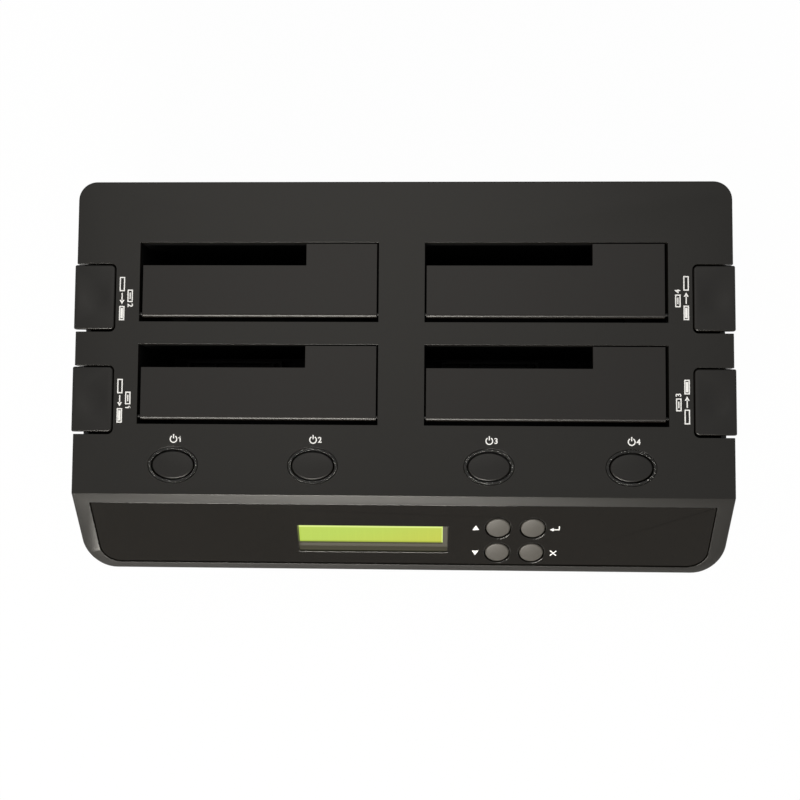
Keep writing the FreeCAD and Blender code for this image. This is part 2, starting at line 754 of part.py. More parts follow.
def hinge_pins(name):
    return [
        rod(
            f"{name}_{bay.name}",
            "+X",
            (bay.left - S["pin_seat"], bay.hinge_y, HINGE_Z),
            S["pin_radius"],
            S["bay_width"] + 2 * S["pin_seat"],
        )
        for bay in bays
    ]


def lip_ring(name, grow):
    """The tongue that locates the two housings, or the room for it."""
    inset = S["case_wall"] - S["lip_wall"] - grow
    outer = case_prism(name + "_outer", inset, SEAM - grow, SEAM + S["lip_height"] + grow)
    inner = case_prism(name + "_inner", S["case_wall"] + 0.001, SEAM - 1, SEAM + S["lip_height"] + 1)
    return cut(name, outer, inner)


# Bottom housing


def bottom_housing(back_cuts):
    """Tray with its screw posts, board bosses, tongue, vents and port holes."""
    block = case_prism("lower_form", ZERO, BASE, SEAM)
    block = round_edges(block, S["edge_round"], lambda edge: edge.BoundBox.ZMax < BASE.now + 0.01)
    room = case_prism("lower_room", S["case_wall"], BASE + S["case_wall"], SEAM + 1)
    shell = cut("lower_shell", block, room)
    posts = screw_posts("lower_post", BASE + 1, SEAM)
    posts += board_posts("board_boss", MAIN_POSTS, S["board_level"], BASE + 1, BOARD_POST + 0.6)
    posts += [
        rod(f"spring_peg_{bay.name}", "+Z", (bay.side * SPRING_X, bay.lever_y, BASE + 1), PEG_RADIUS, 5.0)
        for bay in bays
    ]
    body = fuse("lower_body", shell, *posts, lip_ring("lower_lip", ZERO))
    tools = [
        rod(f"lower_sink_{i}", "+Z", (x, y, BASE - 1), POST_HEAD, POST_SINK + 1)
        for i, (x, y) in enumerate(POSTS)
    ]
    tools += [
        rod(f"lower_bore_{i}", "+Z", (x, y, BASE), POST_BORE, SEAM - BASE + 1)
        for i, (x, y) in enumerate(POSTS)
    ]
    tools += board_posts("board_bore", MAIN_POSTS, S["board_level"] + 1, S["board_level"] - 4, BOARD_BORE)
    tools += [*floor_vents(), *port_holes(), back_cuts]
    return piece("bottom_housing", cut("bottom_housing", body, *tools))


def floor_vents():
    """Slots in the floor below the circuit board."""
    middle = (S["column_gap"] + S["bay_width"]) / 2
    vents = []
    for side in (-1, 1):
        for index in range(VENTS):
            y = (FRONT_ROW + REAR_ROW) / 2 + (index - VENTS // 2) * VENT_PITCH
            low = (side * middle - VENT_REACH, y - VENT_HALF, BASE - 1)
            high = (side * middle + VENT_REACH, y + VENT_HALF, BASE + S["case_wall"] + 1)
            vents.append(box(f"vent_{side}_{index}", low, high))
    return vents


def port_holes():
    tools = []
    for name, (x, width, height) in PORTS.items():
        grow = S["fit_gap"]
        low = (x - width / 2 - grow, BACK - 4, BOARD_TOP - grow)
        tools.append(box(name + "_hole", low, (x + width / 2 + grow, BACK + 1, BOARD_TOP + height + grow)))
    x, z = ROCKER_X, S["rocker_level"]
    half_x, half_z = S["rocker_width"] / 2, S["rocker_height"] / 2
    tools.append(box("rocker_hole", (x - half_x, BACK - 5, z - half_z), (x + half_x, BACK + 1, z + half_z)))
    tools.append(
        box(
            "rocker_seat",
            (x - half_x - ROCKER_RIM, BACK - ROCKER_RIM, z - half_z - ROCKER_RIM),
            (x + half_x + ROCKER_RIM, BACK + 1, z + half_z + ROCKER_RIM),
        )
    )
    return tools


def rubber_feet():
    places = [(side * (SIDE - 30), y) for side in (-1, 1) for y in (FRONT + 20, BACK - 20)]
    feet = [rod(f"foot_{i}", "+Z", (x, y, 0), S["foot_radius"], BASE) for i, (x, y) in enumerate(places)]
    return piece("rubber_feet", group("rubber_feet", *feet))


# Control panel


def front_panel():
    plate = panel_prism("panel_plate", ZERO, PANEL_BACK, PANEL_FACE)
    tools = [window_box("panel_window", 0, PANEL_BACK - 1, 1)]
    tools += key_rods("panel_key_hole", S["key_radius"] + S["key_gap"], PANEL_BACK - 1, 1)
    return piece("front_panel", on_slope(cut("front_panel", plate, *tools)))


def display():
    """The display's metal bezel, its glass and its circuit board, held on four posts."""
    low = WALL_BACK - DISPLAY_DEEP
    half_x, half_v = S["window_width"] / 2, S["window_length"] / 2
    rim_x, seat_x = half_x + 2.2, half_x + 1.4

    def about(name, left, right, down, up, bottom, top):
        x, v = DISPLAY_X, DISPLAY_V
        return box(name, (x - left, v - down, bottom), (x + right, v + up, top))

    frame = about("bezel_block", rim_x, rim_x, half_v + 3, half_v + 3, low, WALL_BACK)
    strip = half_v - S["bezel_strip"]
    hole = about("bezel_hole", half_x, half_x - 2, strip, half_v, low - 1, WALL_BACK + 1)
    seat = about("bezel_seat", seat_x, seat_x, half_v + 2, half_v + 2, low - 1, WALL_BACK - 1)
    piece("display_bezel", on_slope(cut("display_bezel", frame, hole, seat)))
    glass = about("glass", seat_x, seat_x, half_v + 2, half_v + 2, low, WALL_BACK - 1)
    piece("display_glass", laid("display_glass", glass))
    half_x, half_v = (size / 2 for size in DISPLAY_BOARD)
    board = about("display_card", half_x, half_x, half_v, half_v, low - S["board_plate"], low)
    holes = [
        rod(f"card_hole_{i}", "+Z", (a, b, low - 5), BOARD_BORE, 9)
        for i, (a, b) in enumerate(DISPLAY_POSTS)
    ]
    piece("display_board", on_slope(cut("display_board", board, *holes)))


def tact_switch(name, x, y, level):
    """A small push switch that stands on a board."""
    base = box(name + "_base", (x - 3, y - 3, level), (x + 3, y + 3, level + 2.4))
    plunger = rod(name + "_plunger", "+Z", (x, y, level + 2.4), 1.7, SWITCH_HEIGHT - 2.4)
    return fuse(name, base, plunger)


def key_board():
    top = WALL_BACK - KEYS_DEEP
    low = (KEYS_X - 18, KEYS_V - 15, top - S["board_plate"])
    card = box("key_card", low, (KEYS_X + 18, KEYS_V + 15, top))
    switches = [tact_switch(f"switch_{key}", x, v, top) for key, (x, v) in KEYS.items()]
    holes = [
        rod(f"key_card_hole_{i}", "+Z", (a, b, top - 5), BOARD_BORE, 9)
        for i, (a, b) in enumerate(KEY_POSTS)
    ]
    board = cut("key_board", fuse("key_board_solid", card, *switches), *holes)
    return piece("menu_key_board", on_slope(board))


def menu_keys():
    """Round caps that travel square to the panel."""
    face = PANEL_FACE - S["key_inset"]
    shelf = WALL_BACK - S["free_gap"]
    below = shelf - 1.0
    foot = WALL_BACK - KEYS_DEEP + SWITCH_HEIGHT + S["key_travel"] + 0.1
    for key, (x, v) in KEYS.items():
        cap = rod(f"cap_{key}", "+Z", (x, v, below), S["key_radius"], face - below)
        flange = rod(f"flange_{key}", "+Z", (x, v, below), S["key_radius"] + 1.1, 1.0)
        stem = rod(f"stem_{key}", "+Z", (x, v, foot), 1.5, below - foot + 0.2)
        piece(f"menu_key_{key}", laid(f"menu_key_{key}", fuse(f"key_solid_{key}", cap, flange, stem)))


# Power buttons


def power_buttons():
    for index, x in enumerate(POWER_X, start=1):
        centre = (x, POWER_Y)
        ring_low = DECK_UNDER - 1.2
        hole = (S["power_width"] + 2 * S["power_gap"], S["power_depth"] + 2 * S["power_gap"])
        ring = oval(f"ring_{index}", centre, ring_low, TOP + 0.15, RING_WIDTH, RING_DEPTH)
        skirt_size = (RING_WIDTH + 2.4, RING_DEPTH + 2.4)
        skirt = oval(f"ring_skirt_{index}", centre, ring_low, DECK_UNDER, *skirt_size)
        bore = oval(f"ring_bore_{index}", centre, ring_low - 1, TOP + 1, *hole)
        solid = fuse(f"ring_solid_{index}", ring, skirt)
        piece(f"power_ring_{index}", cut(f"power_ring_{index}", solid, bore))
        flange_top = ring_low - S["free_gap"]
        low = flange_top - 1.0
        cap = oval(f"power_cap_{index}", centre, low, TOP + 0.1, S["power_width"], S["power_depth"])
        flange = oval(
            f"power_flange_{index}", centre, low, flange_top, S["power_width"] + 3, S["power_depth"] + 3
        )
        foot = POWER_BOARD_TOP + SWITCH_HEIGHT + S["power_travel"] + 0.1
        stem = rod(f"power_stem_{index}", "+Z", (x, POWER_Y, foot), 1.5, low - foot + 0.2)
        piece(f"power_button_{index}", fuse(f"power_button_{index}", cap, flange, stem))


def power_switch_board():
    reach = POWER_X[3] + 10
    low = (-reach, POWER_Y - 7, POWER_BOARD_TOP - S["board_plate"])
    card = box("power_card", low, (reach, POWER_Y + 7, POWER_BOARD_TOP))
    top = POWER_BOARD_TOP
    switches = [tact_switch(f"power_switch_{i}", x, POWER_Y, top) for i, x in enumerate(POWER_X)]
    holes = board_posts("power_card_hole", POWER_POSTS, top + 1, top - 5, BOARD_BORE)
    solid = fuse("power_board_solid", card, *switches)
    return piece("power_switch_board", cut("power_switch_board", solid, *holes))


# Main board, drive sockets and ports


def main_board():
    low = (-BOARD_HALF, FRONT_ROW - 9, S["board_level"])
    card = box("main_card", low, (BOARD_HALF, BACK - S["case_wall"] - 0.5, BOARD_TOP))
    holes = board_posts("main_card_hole", MAIN_POSTS, BOARD_TOP + 1, S["board_level"] - 1, BOARD_BORE)
    return piece("main_board", cut("main_board", card, *holes))


def drive_sockets():
    """Combined data and power sockets: a shell round two tongues with a key at one end."""
    for bay in bays:
        x, y, name = bay.socket_x, bay.socket_y, bay.name
        half_x, half_y = S["socket_width"] / 2, S["socket_depth"] / 2
        top = BOARD_TOP + S["socket_height"]
        low = (x - half_x, y - half_y, BOARD_TOP)
        shell = box(f"socket_shell_{name}", low, (x + half_x, y + half_y, top))
        room_x, room_y = half_x - 1.4, half_y - 1.2
        low = (x - room_x, y - room_y, top - 7)
        room = box(f"socket_room_{name}", low, (x + room_x, y + room_y, top + 1))
        tongues = []
        for part, start, length in (("data", -20.0, 11.0), ("power", -5.0, 24.0)):
            low = (x + start, y - 0.6, top - 7.5)
            tongues.append(box(f"{part}_tongue_{name}", low, (x + start + length, y + 0.6, top - 1)))
            key_low = (x + start + length - 1.2, y - 0.6, top - 7.5)
            tongues.append(box(f"{part}_key_{name}", key_low, (x + start + length, y + room_y, top - 1)))
        socket = fuse(f"drive_socket_{name}", cut(f"socket_open_{name}", shell, room), *tongues)
        piece(f"drive_socket_{name}", socket)


def ports():
    for name, (x, width, height) in PORTS.items():
        back = PORT_FACE - S["port_depth"]
        low, high = (x - width / 2, back, BOARD_TOP), (x + width / 2, PORT_FACE, BOARD_TOP + height)
        block = box(name + "_block", low, high)
        if name == "dc_jack":
            level = BOARD_TOP + height / 2
            mouth = rod("jack_mouth", "+Y", (x, PORT_FACE - 10, level), JACK_RADIUS, 12)
            pin = rod("jack_pin", "+Y", (x, PORT_FACE - 11, level), 1.0, 10)
            piece(name, fuse(name, cut("jack_open", block, mouth), pin))
            continue
        room = box(
            name + "_room",
            (x - width / 2 + 1, PORT_FACE - 9, BOARD_TOP + 1),
            (x + width / 2 - 1, PORT_FACE + 1, BOARD_TOP + height - 1),
        )
        reach = width / 2 - 3
        middle = BOARD_TOP + height / 2
        low, high = (x - reach, PORT_FACE - 9.5, middle - 0.9), (x + reach, PORT_FACE - 1, middle + 0.9)
        tongue = box(name + "_tongue", low, high)
        piece(name, fuse(name, cut(name + "_open", block, room), tongue))


def rocker_switch():
    """A panel switch whose frame sits flush in the back wall."""
    x, z = ROCKER_X, S["rocker_level"]
    half_x, half_z, gap = S["rocker_width"] / 2, S["rocker_height"] / 2, S["fit_gap"]
    rim = box(
        "rocker_rim",
        (x - half_x - ROCKER_RIM + gap, BACK - ROCKER_RIM, z - half_z - ROCKER_RIM + gap),
        (x + half_x + ROCKER_RIM - gap, BACK - 0.05, z + half_z + ROCKER_RIM - gap),
    )
    block = box(
        "rocker_block",
        (x - half_x + gap, BACK - 15, z - half_z + gap),
        (x + half_x - gap, BACK - 1, z + half_z - gap),
    )
    room = box(
        "rocker_room",
        (x - half_x + 1.5, BACK - 9, z - half_z + 1.5),
        (x + half_x - 1.5, BACK + 1, z + half_z - 1.5),
    )
    pivot_y = BACK - 6
    bore_low = (x, pivot_y, z - half_z + 0.5)
    bore = rod("rocker_frame_bore", "+Z", bore_low, ROCKER_PIN, S["rocker_height"] - 1)
    piece("rocker_frame", cut("rocker_frame", fuse("rocker_solid", rim, block), room, bore))
    inner_x = half_x - 2.2 - S["free_gap"]
    inner_z = half_z - 1.5 - S["free_gap"]
    paddle = doc.addObject("Part::Feature", "rocker_paddle")
    paddle.Shape = rocker_paddle(inner_x.now, inner_z.now, half_z.now - 0.7)
    paddle.Placement = Placement(
        Vector(x.now, pivot_y.now, z.now), Rotation(Vector(0, 0, 1), S["rocker_tilt"].now)
    )
    piece("power_rocker", paddle)


def rocker_paddle(half_x, half_z, half_pin):
    """A paddle with two sloping faces, drawn level about its pin."""
    tilt = math.tan(math.radians(S["rocker_tilt"].now))
    face = 4.3
    outline = [
        (-half_x, face - half_x * tilt * 0.2),
        (0, face - half_x * tilt * 0.6),
        (half_x, face - half_x * tilt * 0.2),
        (half_x, 1.5),
        (2.5, -2.0),
        (-2.5, -2.0),
        (-half_x, 1.5),
    ]
    points = [Vector(a, b, -half_z) for a, b in outline]
    solid = Part.Face(Part.makePolygon(points + points[:1])).extrude(Vector(0, 0, 2 * half_z))
    pin = Part.makeCylinder(ROCKER_PIN - S["pin_play"].now, 2 * half_pin, Vector(0, 0, -half_pin))
    return solid.fuse(pin).removeSplitter()


# Drive guides


def drive_guides():
    """A four-walled chute below each opening, with its socket slot and a window for the lever."""
    wall = S["guide_wall"]
    for bay in bays:
        name = bay.name
        x0, x1, y0, y1 = bay.left, bay.right, bay.front, bay.back
        low = (x0 - wall, y0 - wall, S["guide_level"])
        block = box(f"guide_block_{name}", low, (x1 + wall, y1 + wall, GUIDE_TOP))
        room = box(f"guide_room_{name}", (x0, y0, GUIDE_FLOOR), (x1, y1, GUIDE_TOP + 1))
        half_x, half_y = S["socket_width"] / 2 + S["fit_gap"], S["socket_depth"] / 2 + S["fit_gap"]
        slot = box(
            f"socket_slot_{name}",
            (bay.socket_x - half_x, bay.socket_y - half_y, S["guide_level"] - 1),
            (bay.socket_x + half_x, bay.socket_y + half_y, GUIDE_FLOOR + 1),
        )
        near, far = bay.across(OUTER_GUIDE - 3 * wall, OUTER_GUIDE + 1)
        half_lever = S["lever_width"] / 2 + S["free_gap"]
        window = box(
            f"lever_window_{name}",
            (near, bay.lever_y - half_lever, GUIDE_FLOOR),
            (far, bay.lever_y + half_lever, S["lever_level"] + 6),
        )
        lug_back, lug_floor = bay.hinge_y + 2.4, HINGE_Z - S["pin_radius"] - LUG_DROP - 0.2
        lug_room = box(f"lug_room_{name}", (x0 - 9, y0 - 9, lug_floor), (x1 + 9, lug_back, GUIDE_TOP + 1))
        keep = box(f"lug_keep_{name}", (x0, y0 - 9, lug_floor - 1), (x1, y0, GUIDE_TOP + 2))
        body = cut(f"guide_open_{name}", block, room, slot, window, cut(f"lug_cut_{name}", lug_room, keep))
        ears = []
        for side in (-1, 1):
            low_y = bay.lever_y + side * (half_lever + 1.2) - 1.2
            a, b = bay.across(OUTER_GUIDE - wall, LEVER_PIVOT + 3)
            high = (b, low_y + 2.4, S["lever_level"] + 3)
            ears.append(box(f"ear_{name}_{side + 1}", (a, low_y, S["guide_level"]), high))
        feet = [(a, b) for a in (bay.left + 14, bay.right - 14) for b in (y0 + 4, y0 + 14)]
        legs = [
            rod(f"leg_{name}_{i}", "+Z", (x, y, BOARD_TOP), 2.5, S["guide_level"] - BOARD_TOP + 0.5)
            for i, (x, y) in enumerate(feet)
        ]
        solid = fuse(f"guide_solid_{name}", body, *ears, *legs)
        start = (bay.side * LEVER_PIVOT, bay.lever_y - 9, S["lever_level"])
        bore = rod(f"ear_bore_{name}", "+Y", start, S["lever_pin_radius"], 18)
        piece(f"drive_guide_{name}", cut(f"drive_guide_{name}", solid, bore))


# Doors


def doors():
    """L-shaped flaps with a rounded hinge edge, a bore for the pin and stiffening ribs below."""
    for bay in bays:
        name = bay.name
        outer, inner = S["door_outer_gap"], S["door_inner_gap"]
        left_gap, right_gap = (outer, inner) if bay.side < 0 else (inner, outer)
        x0, x1 = bay.left + left_gap, bay.right - right_gap
        y1 = bay.back - S["door_back_gap"]
        body = doc.addObject("PartDesign::Body", f"door_{name}")
        solid_rod(body, f"hinge_{name}", "+X", (x0, bay.hinge_y, HINGE_Z), S["hinge_radius"], x1 - x0)
        solid_box(body, f"plate_{name}", (x0, bay.hinge_y, TOP - S["door_plate"]), (x1, y1, TOP))
        ribs_low, ribs_high = TOP - S["door_plate"] - S["rib_depth"], TOP - S["door_plate"] / 2
        notch_y = bay.back - S["notch_depth"]
        for index in range(4):
            x = x0 + 3 + index * (x1 - x0 - 7.2) / 3
            high = (x + 1.2, notch_y - 1.5, ribs_high)
            solid_box(body, f"rib_{name}_{index}", (x, bay.hinge_y + 2.8, ribs_low), high)
        high = (x1 - 3, notch_y - 1.5, ribs_high)
        solid_box(body, f"crossbar_{name}", (x0 + 3, notch_y - 2.7, ribs_low), high)
        solid_box(
            body,
            f"notch_{name}",
            (x0 - 1, notch_y, ribs_low - 1),
            (x0 + S["notch_width"], y1 + 1, TOP + 1),
            "SubtractiveBox",
        )
        bore = solid_rod(
            body,
            f"door_bore_{name}",
            "+X",
            (x0 - 1, bay.hinge_y, HINGE_Z),
            S["pin_radius"] + S["pin_play"],
            x1 - x0 + 2,
            "SubtractiveCylinder",
        )
        coil_x = x0 - 1 if bay.side < 0 else x1 - S["coil_length"] - 1.2
        bore = solid_rod(
            body,
            f"spring_bore_{name}",
            "+X",
            (coil_x, bay.hinge_y, HINGE_Z),
            S["pin_radius"] + 1.5 * S["coil_wire"] + 0.25,
            S["coil_length"] + 2.2,
            "SubtractiveCylinder",
        )
        body.Tip = bore
        piece(f"door_{name}", body)
    piece("door_hinge_pins", group("door_hinge_pins", *hinge_pins("hinge_pin")))


# Ejectors


def eject_buttons():
    """Caps that wrap from the deck over the side, each with a stem above its lever."""
    plate = S["eject_plate"]
    outer = SIDE + S["eject_proud"]
    skirt_face = outer - S["free_gap"]
    under = TOP - plate + 0.5
    for bay in bays:
        name = bay.name
        y0, y1 = bay.eject_front, bay.eject_back
        body = doc.addObject("PartDesign::Body", f"eject_form_{name}")
        a, b = bay.across(EJECT_INNER, outer)
        solid_box(body, f"cap_{name}", (a, y0, TOP - plate), (b, y1, TOP))
        inner_x, outer_x = bay.side * EJECT_INNER.now, bay.side * outer.now

        def at(edge, x):
            upright = edge.BoundBox.ZLength > 0.5
            return upright and abs(edge.BoundBox.Center.x - x) < 0.01

        def rim(edge):
            return edge.BoundBox.ZMin > TOP.now - 0.01 or at(edge, outer_x)

        round_edges(body, S["eject_corner"], lambda edge: at(edge, inner_x))
        round_edges(body, S["edge_round"], rim)
        dish = body.newObject("PartDesign::SubtractiveSphere", f"dish_{name}")
        bind(dish, Radius=DISH_RADIUS)
        middle = bay.side * (EJECT_INNER + S["eject_width"] / 2)
        place(dish, middle, bay.lever_y, TOP + DISH_RADIUS - S["eject_dish"])
        a, b = bay.across(skirt_face - plate, skirt_face)
        low = (a, y0 + S["skirt_inset"], TOP - S["eject_skirt"])
        solid_box(body, f"skirt_{name}", low, (b, y1 - S["skirt_inset"], TOP - plate / 2))
        x = bay.side * SPRING_X
        foot = S["lever_level"] + S["free_gap"]
        low = (x - STEM_HALF, bay.lever_y - 3, foot)
        stem = box(f"stem_{name}", low, (x + STEM_HALF, bay.lever_y + 3, under))
        a, b = bay.across(SPRING_X - STEM_HALF, skirt_face - plate + 0.5)
        low = (a, bay.lever_y - 0.8, TOP - S["eject_skirt"])
        web = box(f"web_{name}", low, (b, bay.lever_y + 0.8, under))
        piece(f"eject_button_{name}", fuse(f"eject_button_{name}", body, stem, web))


def eject_levers():
    """Rocking levers: the button's stem presses the outer arm and the inner arm lifts the drive."""
    pins = []
    level, plate = S["lever_level"], S["lever_plate"]
    for bay in bays:
        name = bay.name
        y0, y1 = bay.lever_y - S["lever_width"] / 2, bay.lever_y + S["lever_width"] / 2
        a, b = bay.across(LEVER_PIVOT - S["lever_arm"] - 4, LEVER_PIVOT + S["lever_arm"] + 3)
        arm = box(f"lever_arm_{name}", (a, y0, level - plate), (b, y1, level))
        pivot = bay.side * LEVER_PIVOT
        size = S["lever_pin_radius"] + 1.4
        boss = rod(f"lever_boss_{name}", "+Y", (pivot, y0, level), size, S["lever_width"])
        bore = rod(
            f"lever_bore_{name}",
            "+Y",
            (pivot, y0 - 1, level),
            S["lever_pin_radius"] + S["pin_play"],
            S["lever_width"] + 2,
        )
        solid = fuse(f"lever_solid_{name}", arm, boss)
        piece(f"eject_lever_{name}", cut(f"eject_lever_{name}", solid, bore))
        half = S["lever_width"] / 2 + S["free_gap"] + 2.4
        start = (pivot, bay.lever_y - half, level)
        pins.append(rod(f"lever_pin_{name}", "+Y", start, S["lever_pin_radius"], 2 * half))
    piece("eject_lever_pins", group("eject_lever_pins", *pins))


def coil(name, turns, length, middle, wire):
    """A coil of square wire that climbs along Z from the origin, in straight runs to keep it light."""
    steps = turns * COIL_SIDES
    path = doc.addObject("Part::Polygon", name + "_path")
    path.Nodes = [
        Vector(
            middle * math.cos(math.tau * step / COIL_SIDES),
            middle * math.sin(math.tau * step / COIL_SIDES),
            length * step / steps,
        )
        for step in range(steps + 1)
    ]
    first = (path.Nodes[1] - path.Nodes[0]).normalize()
    section = doc.addObject("Part::RegularPolygon", name + "_section")
    section.Polygon = 4
    section.Circumradius = wire / math.sqrt(2)
    section.Placement = Placement(path.Nodes[0], Rotation(Vector(0, 0, 1), first))
    solid = doc.addObject("Part::Sweep", name)
    solid.Sections = [section]
    solid.Spine = (path, [])
    solid.Solid = True
    solid.Frenet = False
    solid.Transition = "Right corner"
    return solid


def eject_springs():
    """Compression springs between the floor and the outer arms of the levers."""
    springs = []
    low = (BASE + S["case_wall"]).now
    height = (S["lever_level"] - S["lever_plate"]).now - low
    wire = S["spring_wire"].now
    for bay in bays:
        spring = coil(f"eject_spring_{bay.name}", 4, height - wire - 2 * SPRING_SLACK, SPRING_RADIUS, wire)
        base = Vector(bay.side * SPRING_X.now, bay.lever_y.now, low + wire / 2 + SPRING_SLACK)
        springs.append(turned(f"eject_coil_{bay.name}", spring, Placement(base, Rotation())))
    piece("eject_springs", group("eject_springs", *springs))


def door_springs():
    """Torsion springs round the hinge pins, wound closely beside the outer end of each door."""
    springs = []
    wire, length = S["coil_wire"].now, S["coil_length"].now
    middle = S["pin_radius"].now + wire / 2 + 0.15
    for bay in bays:
        spring = coil(f"door_spring_{bay.name}", 6, length, middle, wire)
        end = bay.left + COIL_START if bay.side < 0 else bay.right - COIL_START
        turn = Rotation(Vector(0, 1, 0), -90 * bay.side)
        base = Vector(end.now, bay.hinge_y.now, HINGE_Z.now)
        springs.append(turned(f"door_coil_{bay.name}", spring, Placement(base, turn)))
    piece("door_springs", group("door_springs", *springs))


def turned(name, feature, placement):
    holder = group(name, feature)
    holder.Placement = placement
    return holder


# Fans


def fans():
    for side, x in zip(("left", "right"), FAN_X):
        half, level = S["fan_size"] / 2, FAN_LEVEL
        y0, y1 = FAN_BACK - S["fan_thick"], FAN_BACK
        block = box(f"fan_block_{side}", (x - half, y0, level - half), (x + half, y1, level + half))
        bore = rod(f"fan_bore_{side}", "+Y", (x, y0 - 1, level), FAN_BORE, S["fan_thick"] + 2)
        motor = rod(f"fan_motor_{side}", "+Y", (x, y1 - 2.6, level), S["hub_radius"], 2.6)
        reach = FAN_BORE + 0.5
        struts = [
            box(f"fan_strut_{side}_0", (x - reach, y1 - 2, level - 1.2), (x + reach, y1, level + 1.2)),
            box(f"fan_strut_{side}_1", (x - 1.2, y1 - 2, level - reach), (x + 1.2, y1, level + reach)),
        ]
        shaft = rod(f"fan_shaft_{side}", "+Y", (x, y0 + 3, level), FAN_SHAFT, S["fan_thick"] - 4)
        solid = fuse(f"fan_solid_{side}", cut(f"fan_ring_{side}", block, bore), motor, *struts, shaft)
        holes = [
            rod(
                f"fan_fix_{side}_{a + 1}{b + 1}",
                "+Y",
                (x + a * FAN_FIXING, y0 - 1, level + b * FAN_FIXING),
                FAN_SCREW,
                S["fan_thick"] + 2,
            )
            for a, b in FAN_HOLES
        ]
        piece(f"fan_frame_{side}", cut(f"fan_frame_{side}", solid, *holes))
        rotor = doc.addObject("Part::Feature", f"fan_rotor_{side}")
        rotor.Shape = rotor_shape()
        rotor.Placement = Placement(Vector(x.now, (y1 - 2.6 - S["free_gap"]).now, level.now), TURNS["-Y"])
        piece(f"fan_rotor_{side}", rotor)


def rotor_shape():
    """A hub with pitched blades, its open end at the origin and its face along +Z."""
    hub, tip, tall = S["hub_radius"].now, BLADE_TIP.now, (S["fan_thick"] - 3.4).now
    solid = Part.makeCylinder(hub, tall)
    ring = Part.makeCylinder(tip, tall).cut(Part.makeCylinder(hub - 0.5, tall))
    for index in range(BLADES):
        blade = Part.makeBox(tip + 2, BLADE_PLATE, tall + 8, Vector(0, -BLADE_PLATE / 2, -tall / 2 - 4))
        blade.rotate(Vector(), Vector(1, 0, 0), BLADE_PITCH)
        blade.translate(Vector(0, 0, tall / 2))
        blade.rotate(Vector(), Vector(0, 0, 1), index * 360 / BLADES)
        solid = solid.fuse(blade.common(ring))
    bore = Part.makeCylinder(FAN_SHAFT + S["pin_play"].now, tall - 1.0)
    return solid.cut(bore).removeSplitter()


# Screws


def screws():
    """Pan-head screws from below for the case, and behind or above each board."""
    shapes = []
    for index, (x, y) in enumerate(POSTS):
        seat = BASE + POST_SINK
        head = rod(f"case_head_{index}", "+Z", (x, y, seat - 2), POST_HEAD - 0.4, 2)
        shaft = rod(f"case_shaft_{index}", "+Z", (x, y, seat - 1), POST_BORE, SEAM + POST_GRIP - 1 - seat)
        shapes.append(fuse(f"case_screw_{index}", head, shaft))
    piece("case_screws", group("case_screws", *shapes))
    shapes = []
    for index, (x, y) in enumerate(MAIN_POSTS):
        shapes.append(small_screw(f"main_screw_{index}", x, y, BOARD_TOP, 1))
    for index, (x, y) in enumerate(POWER_POSTS):
        shapes.append(small_screw(f"power_screw_{index}", x, y, POWER_BOARD_TOP - S["board_plate"], -1))
    on_panel = [
        small_screw(f"display_screw_{i}", x, v, WALL_BACK - DISPLAY_DEEP - S["board_plate"], -1)
        for i, (x, v) in enumerate(DISPLAY_POSTS)
    ]
    on_panel += [
        small_screw(f"key_screw_{i}", x, v, WALL_BACK - KEYS_DEEP - S["board_plate"], -1)
        for i, (x, v) in enumerate(KEY_POSTS)
    ]
    piece("board_screws", group("board_screws", *shapes, laid("panel_screws", *on_panel)))
    shapes = [
        screw
        for side, x in zip(("left", "right"), FAN_X)
        for screw in fan_screw_shapes(f"fan_screw_{side}", x, 9)
    ]
    piece("fan_screws", group("fan_screws", *shapes))


def small_screw(name, x, y, level, side):
    """A screw whose head stands on a board's face; side is 1 with the head up, -1 with it down."""
    grip = 4.0
    low, high = (level, level + 1.6) if side > 0 else (level - 1.6, level)
    head = rod(name + "_head", "+Z", (x, y, low), 2.2, 1.6)
    start = level - grip if side > 0 else level - 0.5
    shaft = rod(name + "_shaft", "+Z", (x, y, start), BOARD_BORE, grip + 0.5)
    return fuse(name, head, shaft)


def check():
    """Stops before anything is written if a feature failed or a piece is not a sound solid."""
    bad = [f"{o.Name}: {o.State}" for o in doc.Objects if "Invalid" in o.State or "Error" in o.State]
    for label, feature in pieces.items():
        shape = feature.Shape
        if shape.isNull() or not shape.isValid() or not shape.Solids:
            bad.append(f"{label}: no valid solid")
    if bad:
        raise SystemExit("\n".join(bad))


def write():
    os.makedirs("parts", exist_ok=True)
    for label, feature in pieces.items():
        feature.Shape.exportStep(f"parts/{label}.step")
        print(f"{label}: {len(feature.Shape.Solids)} solids, {feature.Shape.Volume:.1f} mm3")


grilles = back_openings()
top_housing(grilles)
bottom_housing(grilles)
rubber_feet()
front_panel()
display()
key_board()
menu_keys()
power_buttons()
power_switch_board()
main_board()
drive_sockets()
ports()
rocker_switch()
drive_guides()
doors()
eject_buttons()
eject_levers()
eject_springs()
door_springs()
fans()
screws()
doc.recompute()
check()
write()
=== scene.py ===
"""Looks of a four-bay drive duplicator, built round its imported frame.

Each sub-assembly is a class with its sizes as fields. It models its pieces at the bench with
bpy.ops, gives each piece a finish, and fixes it to the body that carries it.
"""

import json
import logging
import math
from dataclasses import dataclass, field
from enum import Enum
from typing import Callable

import bpy
from mathutils import Matrix, Vector

